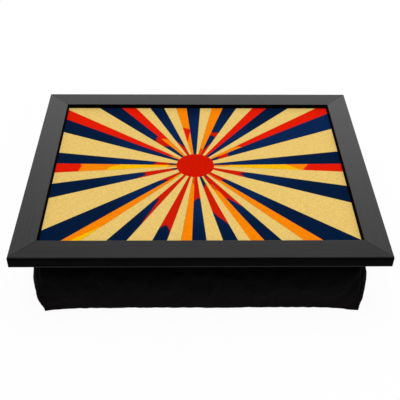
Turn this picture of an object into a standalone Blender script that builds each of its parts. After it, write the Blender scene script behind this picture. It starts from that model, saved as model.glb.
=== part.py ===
"""A breakfast tray for the lap: a mitred picture-frame tray on a bead-filled box cushion.

Metres, +Z up. X runs along the tray's long side, -Y is the front that faces the user. The origin is on the
surface that the cushion stands on, below the middle of the tray.

The tray is four rebated rails joined by V-nails, and a printed sheet, its board and a backing board held up
by framer's points. Hook and loop strips hold it on the cushion. The cushion is a sewn cover of seven panels
round an inner bag of beads, with a zip across its back.
"""

import math

import bmesh
import bpy
import numpy as np
from mathutils import Matrix, Vector

# Clearances between pieces
SEAT_GAP = 0.0003  # between faces that rest on each other, and round a pin or nail in its hole
BOARD_CLEARANCE = 0.0010  # round the boards' edges in the rebate
SEAM_GAP = 0.0006  # between two cloth panels at their seam

# Tray frame
TRAY_LENGTH = 0.430
TRAY_DEPTH = 0.340
RAIL_WIDTH = 0.0285
LIP_WIDTH = 0.006
LIP_THICKNESS = 0.006
OUTER_TOP_RADIUS = 0.0014
SIGHT_EDGE_RADIUS = 0.0006
UNDERSIDE_CHAMFER = 0.0008

# What the rebate holds, from the top down
PRINT_THICKNESS = 0.0006
PANEL_THICKNESS = 0.0028
BACKING_THICKNESS = 0.0020
HOOK_THICKNESS = 0.0010
LOOP_THICKNESS = 0.0011

# V-nails under the mitres
V_NAIL_LEG = 0.0052
V_NAIL_THICKNESS = 0.0006
V_NAIL_HEIGHT = 0.0070
V_NAIL_SINK = 0.0005
V_NAIL_HALF_ANGLE = math.radians(55)
V_NAIL_OUTER_INSET = 0.0085  # from the outer face to the outer nail's tip, square to the rail
V_NAIL_SPACING = 0.0080

# Framer's points in the rebate's walls
POINT_WIDTH = 0.0130
POINT_THICKNESS = 0.0005
POINT_IN_WOOD = 0.0060
POINT_OVER_BOARD = 0.0070
POINT_TIP = 0.0040
POINTS_ON_LONG_RAIL = 3
POINTS_ON_SHORT_RAIL = 2

# Hook and loop strips
STRIP_LENGTH = 0.080
STRIP_WIDTH = 0.025
STRIP_END_INSET = 0.030  # from the cushion's top corner, along X
STRIP_SIDE_INSET = 0.030  # from the cushion's top corner, along Y

# Cushion: where its seams and its fullest line run
CUSHION_HEIGHT = 0.0807
TRAY_OVERHANG_ENDS = 0.0200  # of the tray past the cushion's fullest line
TRAY_OVERHANG_SIDES = 0.0060
FOOT_INSET_ENDS = 0.0062  # of the bottom corners from the cushion's fullest line
FOOT_REACH_SIDES = 0.0038  # of the bottom corners past it, at the front and back
SHOULDER_INSET_ENDS = 0.0090  # of the top corners from the fullest line
SHOULDER_INSET_SIDES = 0.0110
FOOT_DRAWN_IN = 0.0044  # how far a bottom seam curves in between its corners
SHOULDER_DRAWN_IN = 0.0040
DRAWN_IN_POWER = 9  # higher keeps that curve closer to the corners
FOOT_CORNER_HEIGHT = 0.0045
FOOT_SEAM_HEIGHT = 0.0065  # in the middle of a side
SHOULDER_CROWN_RISE = 0.0047  # of the flat top above its seams
BELLY_HEIGHT = 0.0420
BELLY_POWER = 50  # higher keeps a side full closer to its corners
BELLY_ROUNDNESS = 0.38  # lower keeps it full closer to its seams
FOOT_CROWN_WIDTH = 0.026  # how far in from its seam the bottom panel reaches the table
SHOULDER_CROWN_WIDTH = 0.020
SETTLE = 0.0005  # depth of the bottom's crown that is pressed flat
CLOTH_THICKNESS = 0.0012
LINER_THICKNESS = 0.0004
FILL_OPENING_HALF_LENGTH = 0.075

# Zip in the middle of the back
ZIP_CORNER_INSET = 0.0388  # from the cushion's corner to the zip's end
ZIP_OPENING = 0.0100  # between the cover's folded edges
ZIP_TAPER = 0.008  # length over which those edges close beyond the zip
ZIP_TAPE_WIDTH = 0.0120
ZIP_TAPE_THICKNESS = 0.0006
COIL_WIDTH = 0.0024
COIL_DEPTH = 0.0014
COIL_ROUNDING = 0.45  # its corner radius, as a share of its depth
CHAIN_GAP = 0.0012  # between the two coils, where the slider's wedge runs
STOP_LENGTH = 0.0030
SLIDER_LENGTH = 0.0090
SLIDER_PLATE = 0.0009
SLIDER_FLANGE = 0.0009
SLIDER_CORNER = 0.0012
SLIDER_WEDGE_LENGTH = 0.0036
BRIDGE_LENGTH = 0.0074
BRIDGE_BAR = 0.0009
PULL_WIDTH = 0.0062
PULL_LENGTH = 0.0240
PULL_TAPER = 0.8  # its free end's width, as a share of its width
PULL_THICKNESS = 0.0010
PULL_ARM = 0.0014
PULL_WINDOW = 0.0044

BODY_MARK = 0.02  # shown size of the empty on a body's joint axis

# Facets
SMOOTH_ANGLE = math.radians(32)
ARC_STEPS = 4
PULL_END_STEPS = 6
COIL_STEPS = 2
LENGTH_STATIONS = (0.40,)  # shares of the cushion's half length
DEPTH_STATIONS = (0.45,)  # shares of its half depth
EDGE_STATIONS = (0.19, 0.48, 1.0)  # shares of the crown's width
SIDE_STATIONS = (0.22, 0.55)  # shares of the way from a seam to the zip's band
LEAST_SPACING = 0.02

# The cushion's lines, as half lengths along X and half depths along Y
BELLY_HALF_LENGTH = TRAY_LENGTH / 2 - TRAY_OVERHANG_ENDS
BELLY_HALF_DEPTH = TRAY_DEPTH / 2 - TRAY_OVERHANG_SIDES
FOOT_HALF_LENGTH = BELLY_HALF_LENGTH - FOOT_INSET_ENDS
FOOT_HALF_DEPTH = BELLY_HALF_DEPTH + FOOT_REACH_SIDES
SHOULDER_HALF_LENGTH = BELLY_HALF_LENGTH - SHOULDER_INSET_ENDS
SHOULDER_HALF_DEPTH = BELLY_HALF_DEPTH - SHOULDER_INSET_SIDES

# Heights that follow from the sizes above
SHOULDER_SEAM_HEIGHT = CUSHION_HEIGHT - SHOULDER_CROWN_RISE
FRAME_BOTTOM = CUSHION_HEIGHT + SEAT_GAP
LOOP_BOTTOM = CUSHION_HEIGHT + SEAT_GAP
HOOK_BOTTOM = LOOP_BOTTOM + LOOP_THICKNESS + SEAT_GAP
BACKING_BOTTOM = HOOK_BOTTOM + HOOK_THICKNESS + SEAT_GAP
PANEL_BOTTOM = BACKING_BOTTOM + BACKING_THICKNESS + SEAT_GAP
PRINT_BOTTOM = PANEL_BOTTOM + PANEL_THICKNESS + SEAT_GAP
LIP_BOTTOM = PRINT_BOTTOM + PRINT_THICKNESS + SEAT_GAP
FRAME_TOP = LIP_BOTTOM + LIP_THICKNESS
REBATE_DEPTH = LIP_BOTTOM - FRAME_BOTTOM
RAIL_HEIGHT = FRAME_TOP - FRAME_BOTTOM
REBATE_WALL = RAIL_WIDTH - LIP_WIDTH  # from a rail's outer face to the wall of its rebate

# The zip's layers, as distances out from the cover's outer face at the belly
TAPE_FRONT = -(CLOTH_THICKNESS + SEAT_GAP)
TAPE_BACK = TAPE_FRONT - ZIP_TAPE_THICKNESS
COIL_BACK = TAPE_FRONT + SEAT_GAP
COIL_FRONT = COIL_BACK + COIL_DEPTH
SLIDER_INNER_FRONT = TAPE_BACK - SEAT_GAP
SLIDER_INNER_BACK = SLIDER_INNER_FRONT - SLIDER_PLATE
SLIDER_OUTER_BACK = COIL_FRONT + SEAT_GAP
SLIDER_OUTER_FRONT = SLIDER_OUTER_BACK + SLIDER_PLATE
COIL_INNER_EDGE = CHAIN_GAP / 2
COIL_OUTER_EDGE = COIL_INNER_EDGE + COIL_WIDTH
SLIDER_HALF_WIDTH = COIL_OUTER_EDGE + SEAT_GAP + SLIDER_FLANGE
WEDGE_HALF_WIDTH = COIL_INNER_EDGE - SEAT_GAP
PULL_AXIS = SLIDER_OUTER_FRONT + SEAT_GAP + PULL_THICKNESS / 2
BRIDGE_OPENING = PULL_THICKNESS + 2 * SEAT_GAP
ZIP_HALF_LENGTH = FOOT_HALF_LENGTH - ZIP_CORNER_INSET
ZIP_BAND = COIL_INNER_EDGE + ZIP_TAPE_WIDTH + 2 * SEAT_GAP  # half height of the zip's flat strip
SLIDER_TRAVEL = 2 * (ZIP_HALF_LENGTH - STOP_LENGTH - SEAT_GAP) - SLIDER_LENGTH
LINER_INSET = CLOTH_THICKNESS + SEAT_GAP
LINER_ZIP_INSET = SEAT_GAP - SLIDER_INNER_BACK


# Materials


def finish(name, colour, roughness, metallic=0.0):
    """A Principled material of one colour, given as linear RGB."""
    material = bpy.data.materials.new(name)
    material.use_nodes = True
    shader = material.node_tree.nodes["Principled BSDF"]
    shader.inputs["Base Color"].default_value = (*colour, 1.0)
    shader.inputs["Roughness"].default_value = roughness
    shader.inputs["Metallic"].default_value = metallic
    material.diffuse_color = (*colour, 1.0)
    return material


# Objects


def add_object(name, mesh, material, parent, location=(0.0, 0.0, 0.0), turn=0.0):
    """Puts a mesh in the scene under its body's empty, turned about its own Z axis."""
    if not mesh.materials:
        mesh.materials.append(material)
    mesh.shade_smooth()
    mesh.set_sharp_from_angle(angle=SMOOTH_ANGLE)
    piece = bpy.data.objects.new(name, mesh)
    piece.location = location
    piece.rotation_euler = (0.0, 0.0, turn)
    piece.parent = parent
    bpy.context.scene.collection.objects.link(piece)
    return piece


def add_body(name, location, parent=None):
    """An empty on the joint axis that its pieces move about or along."""
    body = bpy.data.objects.new(name, None)
    body.empty_display_size = BODY_MARK
    body.location = location
    body.parent = parent
    bpy.context.scene.collection.objects.link(body)
    return body


def mesh_from(name, points, faces):
    """A mesh from points and faces, with its faces turned outward."""
    mesh = bpy.data.meshes.new(name)
    mesh.from_pydata([tuple(p) for p in points], [], faces)
    shape = bmesh.new()
    shape.from_mesh(mesh)
    bmesh.ops.recalc_face_normals(shape, faces=shape.faces)
    shape.to_mesh(mesh)
    shape.free()
    return mesh


def prism(name, outline, low, high, holes=()):
    """An outline in X and Y, with any holes, extruded from low to high."""
    shape = bmesh.new()
    loops = []
    for ring in (outline, *holes):
        corners = [shape.verts.new((x, y, low)) for x, y in ring]
        loops += [shape.edges.new((corners[i - 1], corners[i])) for i in range(len(corners))]
    filled = bmesh.ops.triangle_fill(shape, use_beauty=True, use_dissolve=not holes, edges=loops)
    faces = [item for item in filled["geom"] if isinstance(item, bmesh.types.BMFace)]
    raised = bmesh.ops.extrude_face_region(shape, geom=faces, use_keep_orig=True)
    tops = [item for item in raised["geom"] if isinstance(item, bmesh.types.BMVert)]
    bmesh.ops.translate(shape, vec=(0.0, 0.0, high - low), verts=tops)
    bmesh.ops.recalc_face_normals(shape, faces=shape.faces)
    mesh = bpy.data.meshes.new(name)
    shape.to_mesh(mesh)
    shape.free()
    return mesh


def swept(name, section, half_length):
    """A section in Y and Z swept along X. Each end is cut at the half length that belongs to its Y."""
    points = [(side * half_length(y), y, z) for side in (-1, 1) for y, z in section]
    count = len(section)
    faces = [tuple(range(count)), tuple(range(count, 2 * count))]
    faces += [(i, (i + 1) % count, count + (i + 1) % count, count + i) for i in range(count)]
    return mesh_from(name, points, faces)


def rectangle(length, width, middle=(0.0, 0.0)):
    x, y = middle
    return [
        (x - length / 2, y - width / 2),
        (x + length / 2, y - width / 2),
        (x + length / 2, y + width / 2),
        (x - length / 2, y + width / 2),
    ]


def clipped_rectangle(length, width, corner):
    """A rectangle round the origin with its corners cut off."""
    x, y = length / 2, width / 2
    quarter = [(x - corner, y), (x, y - corner)]
    half = quarter + [(px, -py) for px, py in quarter[::-1]]
    return half + [(-px, py) for px, py in half[::-1]]


def arc(centre, radius, start, end, steps=ARC_STEPS):
    """Points on an arc from start to end, in degrees."""
    angles = (math.radians(start + (end - start) * i / steps) for i in range(steps + 1))
    return [(centre[0] + radius * math.cos(a), centre[1] + radius * math.sin(a)) for a in angles]


def cut_with(piece, cutter):
    """Cuts a hidden cutter's shape out of a piece."""
    cutter.hide_render = True
    cutter.display_type = "WIRE"
    cutter.hide_set(True)
    boolean = piece.modifiers.new("cut by " + cutter.name, "BOOLEAN")
    boolean.operation = "DIFFERENCE"
    boolean.solver = "EXACT"
    boolean.object = cutter


# Tray frame. Heights in the tray's own body are measured from the frame's underside.


def rail_profile():
    """A rail's section: inward from its outer face, and up from its underside."""
    outer, sight, chamfer = OUTER_TOP_RADIUS, SIGHT_EDGE_RADIUS, UNDERSIDE_CHAMFER
    profile = [(0.0, chamfer), (chamfer, 0.0), (REBATE_WALL, 0.0), (REBATE_WALL, REBATE_DEPTH)]
    profile.append((RAIL_WIDTH, REBATE_DEPTH))
    profile += arc((RAIL_WIDTH - sight, RAIL_HEIGHT - sight), sight, 0, 90)
    profile += arc((outer, RAIL_HEIGHT - outer), outer, 90, 180)
    return profile


def mitred_rail(name, length):
    """A rail along X with its outer face at y = 0, its width along +Y and both ends mitred."""
    back_off = SEAT_GAP / 2 * math.sqrt(2)
    return swept(name, rail_profile(), lambda across: length / 2 - across - back_off)


def v_outline(grow=0.0):
    """A V-nail from below, with its tip at the origin and its legs running towards -X."""
    half = V_NAIL_THICKNESS / 2 + grow
    leg = V_NAIL_LEG + grow
    run, rise = math.cos(V_NAIL_HALF_ANGLE), math.sin(V_NAIL_HALF_ANGLE)
    outer_tip = half / rise
    upper = [
        (outer_tip, 0.0),
        (-leg * run + half * rise, leg * rise + half * run),
        (-leg * run - half * rise, leg * rise - half * run),
        (-outer_tip, 0.0),
    ]
    lower = [(x, -y) for x, y in upper[1:3]][::-1]
    return upper + lower


def v_nail_places():
    """The two nails of each corner: where each tip is, and which way it points."""
    places = []
    for corner_x in (-1, 1):
        for corner_y in (-1, 1):
            for nail in range(2):
                inset = V_NAIL_OUTER_INSET + nail * V_NAIL_SPACING
                x = corner_x * (TRAY_LENGTH / 2 - inset)
                y = corner_y * (TRAY_DEPTH / 2 - inset)
                places.append(((x, y), math.atan2(-corner_y, -corner_x)))
    return places


def framer_point_places():
    """Where each point enters its rebate wall, and the direction that it sticks out in."""
    wall_x = TRAY_LENGTH / 2 - REBATE_WALL
    wall_y = TRAY_DEPTH / 2 - REBATE_WALL
    places = []
    for side in (-1, 1):
        for i in range(POINTS_ON_LONG_RAIL):
            along = wall_x * (2 * (i + 0.5) / POINTS_ON_LONG_RAIL - 1)
            places.append(((along, side * wall_y), math.radians(-90 * side)))
        for i in range(POINTS_ON_SHORT_RAIL):
            along = wall_y * (2 * (i + 0.5) / POINTS_ON_SHORT_RAIL - 1)
            places.append(((side * wall_x, along), math.radians(90 + 90 * side)))
    return places


def framer_point_outline(grow=0.0):
    """A point from below: its tip in the wood at -X, its square tab over the board at +X."""
    half = POINT_WIDTH / 2 + grow
    back = POINT_IN_WOOD + grow
    return [
        (-back, -half + POINT_TIP),
        (-back + POINT_TIP, -half),
        (POINT_OVER_BOARD, -half),
        (POINT_OVER_BOARD, half),
        (-back + POINT_TIP, half),
        (-back, half - POINT_TIP),
    ]


def build_frame(tray, wood, steel):
    point_top = BACKING_BOTTOM - SEAT_GAP - FRAME_BOTTOM
    point_bottom = point_top - POINT_THICKNESS
    rails = {
        "front": (TRAY_LENGTH, (0.0, -TRAY_DEPTH / 2, 0.0), 0.0),
        "back": (TRAY_LENGTH, (0.0, TRAY_DEPTH / 2, 0.0), math.pi),
        "left": (TRAY_DEPTH, (-TRAY_LENGTH / 2, 0.0, 0.0), -math.pi / 2),
        "right": (TRAY_DEPTH, (TRAY_LENGTH / 2, 0.0, 0.0), math.pi / 2),
    }
    nail_top = V_NAIL_SINK + V_NAIL_HEIGHT
    nail = prism("v_nail", v_outline(), V_NAIL_SINK, nail_top)
    nail_slot = prism("v_nail_slot", v_outline(SEAT_GAP), -SEAT_GAP, nail_top + SEAT_GAP)
    point = prism("framer_point", framer_point_outline(), point_bottom, point_top)
    slot_outline = framer_point_outline(SEAT_GAP)
    point_slot = prism("framer_point_slot", slot_outline, point_bottom - SEAT_GAP, point_top + SEAT_GAP)
    fixings = (
        ("v_nail", nail, nail_slot, v_nail_places()),
        ("framer_point", point, point_slot, framer_point_places()),
    )
    cutters = []
    for kind, mesh, slot, places in fixings:
        for number, (place, turn) in enumerate(places, 1):
            name = f"{kind}_{number}"
            add_object(name, mesh, steel, tray, (*place, 0.0), turn)
            cutters.append(add_object("cutter_" + name, slot, steel, tray, (*place, 0.0), turn))
    for side, (length, place, turn) in rails.items():
        name = f"frame_rail_{side}"
        rail = add_object(name, mitred_rail(name, length), wood, tray, place, turn)
        for cutter in cutters:
            if near_rail(side, cutter.location):
                cut_with(rail, cutter)


def near_rail(side, place):
    """Whether a nail or point at this place enters the rail on this side."""
    across = {
        "front": place.y + TRAY_DEPTH / 2,
        "back": TRAY_DEPTH / 2 - place.y,
        "left": place.x + TRAY_LENGTH / 2,
        "right": TRAY_LENGTH / 2 - place.x,
    }
    return across[side] < RAIL_WIDTH


def build_boards(tray, printed, board, card):
    """The print, its board and the backing board, from the lip down."""
    inner_length = TRAY_LENGTH - 2 * REBATE_WALL - 2 * BOARD_CLEARANCE
    inner_depth = TRAY_DEPTH - 2 * REBATE_WALL - 2 * BOARD_CLEARANCE
    outline = rectangle(inner_length, inner_depth)
    layers = (
        ("print_laminate", PRINT_BOTTOM, PRINT_THICKNESS, printed),
        ("panel_board", PANEL_BOTTOM, PANEL_THICKNESS, board),
        ("backing_board", BACKING_BOTTOM, BACKING_THICKNESS, card),
    )
    for name, bottom, thickness, material in layers:
        low = bottom - FRAME_BOTTOM
        add_object(name, prism(name, outline, low, low + thickness), material, tray)


def build_strips(tray, cushion, tape):
    """Four hook strips on the backing board, each over its loop strip on the cushion."""
    x = SHOULDER_HALF_LENGTH - STRIP_END_INSET - STRIP_LENGTH / 2
    y = SHOULDER_HALF_DEPTH - STRIP_SIDE_INSET - STRIP_WIDTH / 2
    outline = rectangle(STRIP_LENGTH, STRIP_WIDTH)
    hook_low = HOOK_BOTTOM - FRAME_BOTTOM
    hook_mesh = prism("hook_strip", outline, hook_low, hook_low + HOOK_THICKNESS)
    loop_mesh = prism("loop_strip", outline, LOOP_BOTTOM, LOOP_BOTTOM + LOOP_THICKNESS)
    corners = [(sx * x, sy * y, 0.0) for sy in (-1, 1) for sx in (-1, 1)]
    for number, place in enumerate(corners, 1):
        add_object(f"hook_strip_{number}", hook_mesh, tape, tray, place)
        add_object(f"loop_strip_{number}", loop_mesh, tape, cushion, place)


# Cushion. Its outer skin is one closed surface of six faces that share their seams. Along and across run
# from -1 to 1 on the top and bottom. A side face runs along its seam, and up through the side heights.


def stations(middle, half_size, extra=()):
    """Shares of a half length where a face has lines: in its middle, near its edge and at extra places."""
    edges = [1 - share * FOOT_CROWN_WIDTH / half_size for share in EDGE_STATIONS]
    edges = [edge for edge in edges if all(abs(edge - place) > LEAST_SPACING for place in extra)]
    half = sorted({0.0, *middle, *extra, *edges, 1.0})
    return [-share for share in half[:0:-1]] + half


def side_heights():
    """Heights of a side face's lines, where the cloth is fullest at the belly."""
    below = BELLY_HEIGHT - ZIP_BAND
    above = BELLY_HEIGHT + ZIP_BAND
    shares = (0.0, *SIDE_STATIONS)
    low = [FOOT_SEAM_HEIGHT + share * (below - FOOT_SEAM_HEIGHT) for share in shares]
    high = [SHOULDER_SEAM_HEIGHT - share * (SHOULDER_SEAM_HEIGHT - above) for share in shares[::-1]]
    return [*low, below, BELLY_HEIGHT, above, *high]


def quarter_round(share):
    """Rises from 0 at the seam, where cloth stands upright, to 1 where it lies flat."""
    share = min(max(share, 0.0), 1.0)
    return math.sqrt(1 - (1 - share) ** 2)


def crown(along, across, half_length, half_depth, width):
    return quarter_round((1 - abs(along)) * half_length / width) * quarter_round(
        (1 - abs(across)) * half_depth / width
    )


def past_corner(share):
    """Rises from 0 at a corner to 1 in the middle of a seam."""
    return 1 - abs(share) ** DRAWN_IN_POWER


def foot_point(along, across):
    """A point of the bottom face, which lies on the table inside its rounded border."""
    x = along * (FOOT_HALF_LENGTH - FOOT_DRAWN_IN * past_corner(across))
    y = across * (FOOT_HALF_DEPTH - FOOT_DRAWN_IN * past_corner(along))
    seam = FOOT_CORNER_HEIGHT + (FOOT_SEAM_HEIGHT - FOOT_CORNER_HEIGHT) * past_corner(along * across)
    fall = crown(along, across, FOOT_HALF_LENGTH, FOOT_HALF_DEPTH, FOOT_CROWN_WIDTH)
    return np.array((x, y, max(0.0, seam - (seam + SETTLE) * fall)))


def shoulder_point(along, across):
    """A point of the top face, which is pressed flat by the tray inside its rounded border."""
    x = along * (SHOULDER_HALF_LENGTH - SHOULDER_DRAWN_IN * past_corner(across))
    y = across * (SHOULDER_HALF_DEPTH - SHOULDER_DRAWN_IN * past_corner(along))
    rise = crown(along, across, SHOULDER_HALF_LENGTH, SHOULDER_HALF_DEPTH, SHOULDER_CROWN_WIDTH)
    return np.array((x, y, SHOULDER_SEAM_HEIGHT + SHOULDER_CROWN_RISE * rise))


def fullness(side, along):
    """How far a side stands out, from 0 at its corners to 1. The zip keeps the back straight."""
    if side != "back":
        return 1 - abs(along) ** BELLY_POWER
    straight = (ZIP_HALF_LENGTH + ZIP_TAPER) / FOOT_HALF_LENGTH
    past = (abs(along) - straight) / (1 - straight)
    return 1.0 if past <= 0 else 0.5 + 0.5 * math.cos(math.pi * past)


def side_point(side, along, height):
    """A point of a side face at a nominal height."""
    across = {"front": -1, "back": 1, "left": -1, "right": 1}[side]
    corners = (along, across) if side in ("front", "back") else (across, along)
    low, high = foot_point(*corners), shoulder_point(*corners)
    share = (height - FOOT_SEAM_HEIGHT) / (SHOULDER_SEAM_HEIGHT - FOOT_SEAM_HEIGHT)
    point = low + (high - low) * share
    band = ZIP_BAND if side == "back" else 0.0
    if height < BELLY_HEIGHT:
        reach = (height - FOOT_SEAM_HEIGHT) / (BELLY_HEIGHT - band - FOOT_SEAM_HEIGHT)
    else:
        reach = (SHOULDER_SEAM_HEIGHT - height) / (SHOULDER_SEAM_HEIGHT - BELLY_HEIGHT - band)
    pull = fullness(side, along) * math.sin(math.pi / 2 * min(max(reach, 0.0), 1.0)) ** BELLY_ROUNDNESS
    axis = 1 if side in ("front", "back") else 0
    belly = across * (BELLY_HALF_DEPTH if axis == 1 else BELLY_HALF_LENGTH)
    point[axis] += pull * (belly - point[axis])
    point[2] += pull * (height - point[2])
    return point


def cushion_faces():
    """The six faces of the outer skin as grids of points, each with its outward side known."""
    zip_places = [reach / FOOT_HALF_LENGTH for reach in (ZIP_HALF_LENGTH, ZIP_HALF_LENGTH + ZIP_TAPER)]
    along_x = stations(LENGTH_STATIONS, FOOT_HALF_LENGTH, zip_places)
    along_y = stations(DEPTH_STATIONS, FOOT_HALF_DEPTH)
    heights = side_heights()
    faces = {
        "bottom": np.array([[foot_point(a, b) for a in along_x] for b in along_y]),
        "top": np.array([[shoulder_point(a, b) for a in along_x] for b in along_y]),
    }
    for side in ("front", "back", "left", "right"):
        run = along_x if side in ("front", "back") else along_y
        faces[side] = np.array([[side_point(side, a, h) for a in run] for h in heights])
    return faces


OUTWARD = {
    "bottom": Vector((0, 0, -1)),
    "top": Vector((0, 0, 1)),
    "front": Vector((0, -1, 0)),
    "back": Vector((0, 1, 0)),
    "left": Vector((-1, 0, 0)),
    "right": Vector((1, 0, 0)),
}


def grid_normals(grid, outward):
    """Unit normals of a grid at its points, on the side that outward points to."""
    normals = np.cross(np.gradient(grid, axis=1), np.gradient(grid, axis=0))
    normals /= np.linalg.norm(normals, axis=2, keepdims=True)
    if (normals @ np.array(outward)).mean() < 0:
        normals = -normals
    return normals


def place_key(point):
    return tuple(round(float(c) * 1e5) for c in point)


def inward_steps(faces):
    """For each point, the move that takes it 1 m inside every face that meets there, to mitre the seams."""
    met = {}
    normals = {name: grid_normals(grid, OUTWARD[name]) for name, grid in faces.items()}
    for name, grid in faces.items():
        for row, column in np.ndindex(grid.shape[:2]):
            met.setdefault(place_key(grid[row, column]), []).append(normals[name][row, column])
    steps = {}
    for name, grid in faces.items():
        moves = np.zeros_like(grid)
        for row, column in np.ndindex(grid.shape[:2]):
            sides = np.array(met[place_key(grid[row, column])])
            moves[row, column] = np.linalg.pinv(sides, rcond=0.3) @ -np.ones(len(sides))
        steps[name] = moves
    return steps


def drawn_in(outer, inner, gap):
    """Both skins of a panel with their borders moved in along the cloth by half a seam's gap."""
    outer, inner = outer.copy(), inner.copy()
    borders = (
        (np.s_[0, :], np.s_[1, :]),
        (np.s_[-1, :], np.s_[-2, :]),
        (np.s_[:, 0], np.s_[:, 1]),
        (np.s_[:, -1], np.s_[:, -2]),
    )
    for edge, next_line in borders:
        toward = outer[next_line] - outer[edge]
        share = gap / 2 / np.linalg.norm(toward, axis=1, keepdims=True)
        outer[edge] += toward * share
        inner[edge] += (inner[next_line] - inner[edge]) * share
    return outer, inner


def cell_halves(first, second, third, fourth):
    """The two triangles of a cell. Every skin splits its cells alike, so that layers stay parallel."""
    return (first, second, third), (first, third, fourth)


def panel_mesh(name, outer, inner):
    """A closed sheet of cloth between two grids of the same size."""
    rows, columns = outer.shape[:2]
    count = rows * columns
    points = np.concatenate((outer.reshape(-1, 3), inner.reshape(-1, 3)))
    faces = []
    for row in range(rows - 1):
        for column in range(columns - 1):
            corner = row * columns + column
            for half in cell_halves(corner, corner + 1, corner + columns + 1, corner + columns):
                faces.append(half)
                faces.append(tuple(count + i for i in half[::-1]))
    border = [c for c in range(columns)]
    border += [r * columns + columns - 1 for r in range(1, rows)]
    border += [(rows - 1) * columns + c for c in range(columns - 2, -1, -1)]
    border += [r * columns for r in range(rows - 2, 0, -1)]
    for i, here in enumerate(border):
        after = border[(i + 1) % len(border)]
        faces.append((here, after, count + after, count + here))
    return mesh_from(name, points, faces)


def skin_net(faces):
    """Numbers the points of the closed skin, each by its face, row and column, and gives its triangles."""
    places, index, triangles, opening = [], {}, [], []
    for side, grid in faces.items():
        numbers = np.zeros(grid.shape[:2], dtype=int)
        for row, column in np.ndindex(grid.shape[:2]):
            key = place_key(grid[row, column])
            if key not in index:
                index[key] = len(places)
                places.append((side, row, column))
            numbers[row, column] = index[key]
        for row, column in np.ndindex(grid.shape[0] - 1, grid.shape[1] - 1):
            corners = numbers[row : row + 2, column : column + 2]
            halves = cell_halves(*(int(i) for i in (*corners[0], *corners[1][::-1])))
            in_opening = side == "back" and in_fill_opening(grid[row : row + 2, column : column + 2])
            (opening if in_opening else triangles).extend(halves)
    return places, triangles, opening


def skin_inside(faces, steps, places, depth):
    """The skin's points moved inward by a depth, and further behind the zip."""
    points = []
    for side, row, column in places:
        point = faces[side][row, column]
        behind_zip = side == "back" and in_zip_band(point)
        extra = LINER_ZIP_INSET - LINER_INSET if behind_zip else 0.0
        points.append(point + steps[side][row, column] * (depth + extra))
    return points


def in_fill_opening(cell):
    """Whether a cell of the back lies in the slit that the beads go in through, just below the zip."""
    middle = cell.reshape(-1, 3).mean(axis=0)
    below_zip = 0 < BELLY_HEIGHT - middle[2] < ZIP_BAND
    return below_zip and abs(middle[0]) < FILL_OPENING_HALF_LENGTH


def directed_edges(triangles):
    return [(t[i - 1], t[i]) for t in triangles for i in range(3)]


def build_filling(cushion, faces, steps, lining, beads):
    """The inner bag, with its slit behind the zip, and the beads in it."""
    places, triangles, opening = skin_net(faces)
    outer = skin_inside(faces, steps, places, LINER_INSET)
    inner = skin_inside(faces, steps, places, LINER_INSET + LINER_THICKNESS)
    count = len(outer)
    sheets = triangles + [tuple(count + i for i in triangle[::-1]) for triangle in triangles]
    sheet_edges = set(directed_edges(triangles))
    walls = [(a, b, count + b, count + a) for a, b in directed_edges(opening) if (b, a) in sheet_edges]
    add_object("liner_bag", mesh_from("liner_bag", outer + inner, sheets + walls), lining, cushion)
    filling = skin_inside(faces, steps, places, LINER_INSET + LINER_THICKNESS + SEAT_GAP)
    add_object("bead_fill", mesh_from("bead_fill", filling, triangles + opening), beads, cushion)


def in_zip_band(point):
    """Whether a point of the back lies in the strip behind the zip and its closed ends."""
    tolerance = 1e-5
    x_reach = FOOT_HALF_LENGTH - ZIP_TAPER
    return abs(point[0]) < x_reach and abs(point[2] - BELLY_HEIGHT) < ZIP_BAND + tolerance


def zip_edge(x):
    """Half the opening between the cover's edges at the zip, closing to a seam past its ends."""
    past = min(max((abs(x) - ZIP_HALF_LENGTH) / ZIP_TAPER, 0.0), 1.0)
    return SEAM_GAP / 2 + (1 - past) * (ZIP_OPENING - SEAM_GAP) / 2


def back_halves(outer, inner):
    """The back face as the strip below the zip and the strip above it."""
    belly = side_heights().index(BELLY_HEIGHT)
    share = np.array([zip_edge(x) for x in outer[belly, :, 0]])[:, None] / ZIP_BAND
    lower, upper = [], []
    for skin in (outer, inner):
        below, above = skin[: belly + 1].copy(), skin[belly:].copy()
        below[-1] += (below[-2] - below[-1]) * share
        above[0] += (above[1] - above[0]) * share
        lower.append(below)
        upper.append(above)
    return {"cover_back_lower": lower, "cover_back_upper": upper}


def build_cover(cushion, faces, steps, cloth):
    inner = {side: grid + steps[side] * CLOTH_THICKNESS for side, grid in faces.items()}
    for side in ("top", "bottom", "front", "left", "right"):
        name = f"cover_{side}"
        skins = drawn_in(faces[side], inner[side], SEAM_GAP)
        add_object(name, panel_mesh(name, *skins), cloth, cushion)
    for name, skins in back_halves(faces["back"], inner["back"]).items():
        add_object(name, panel_mesh(name, *drawn_in(*skins, SEAM_GAP)), cloth, cushion)


# Zip. Its pieces are drawn lying down: X along the zip, Y up the cushion's back, Z out from its face.


def stand_up(mesh):
    """Turns a mesh drawn lying down so that its Z points to the back and its Y points up."""
    mesh.transform(Matrix(((1, 0, 0, 0), (0, 0, 1, 0), (0, 1, 0, 0), (0, 0, 0, 1))))
    mesh.flip_normals()
    return mesh


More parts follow.
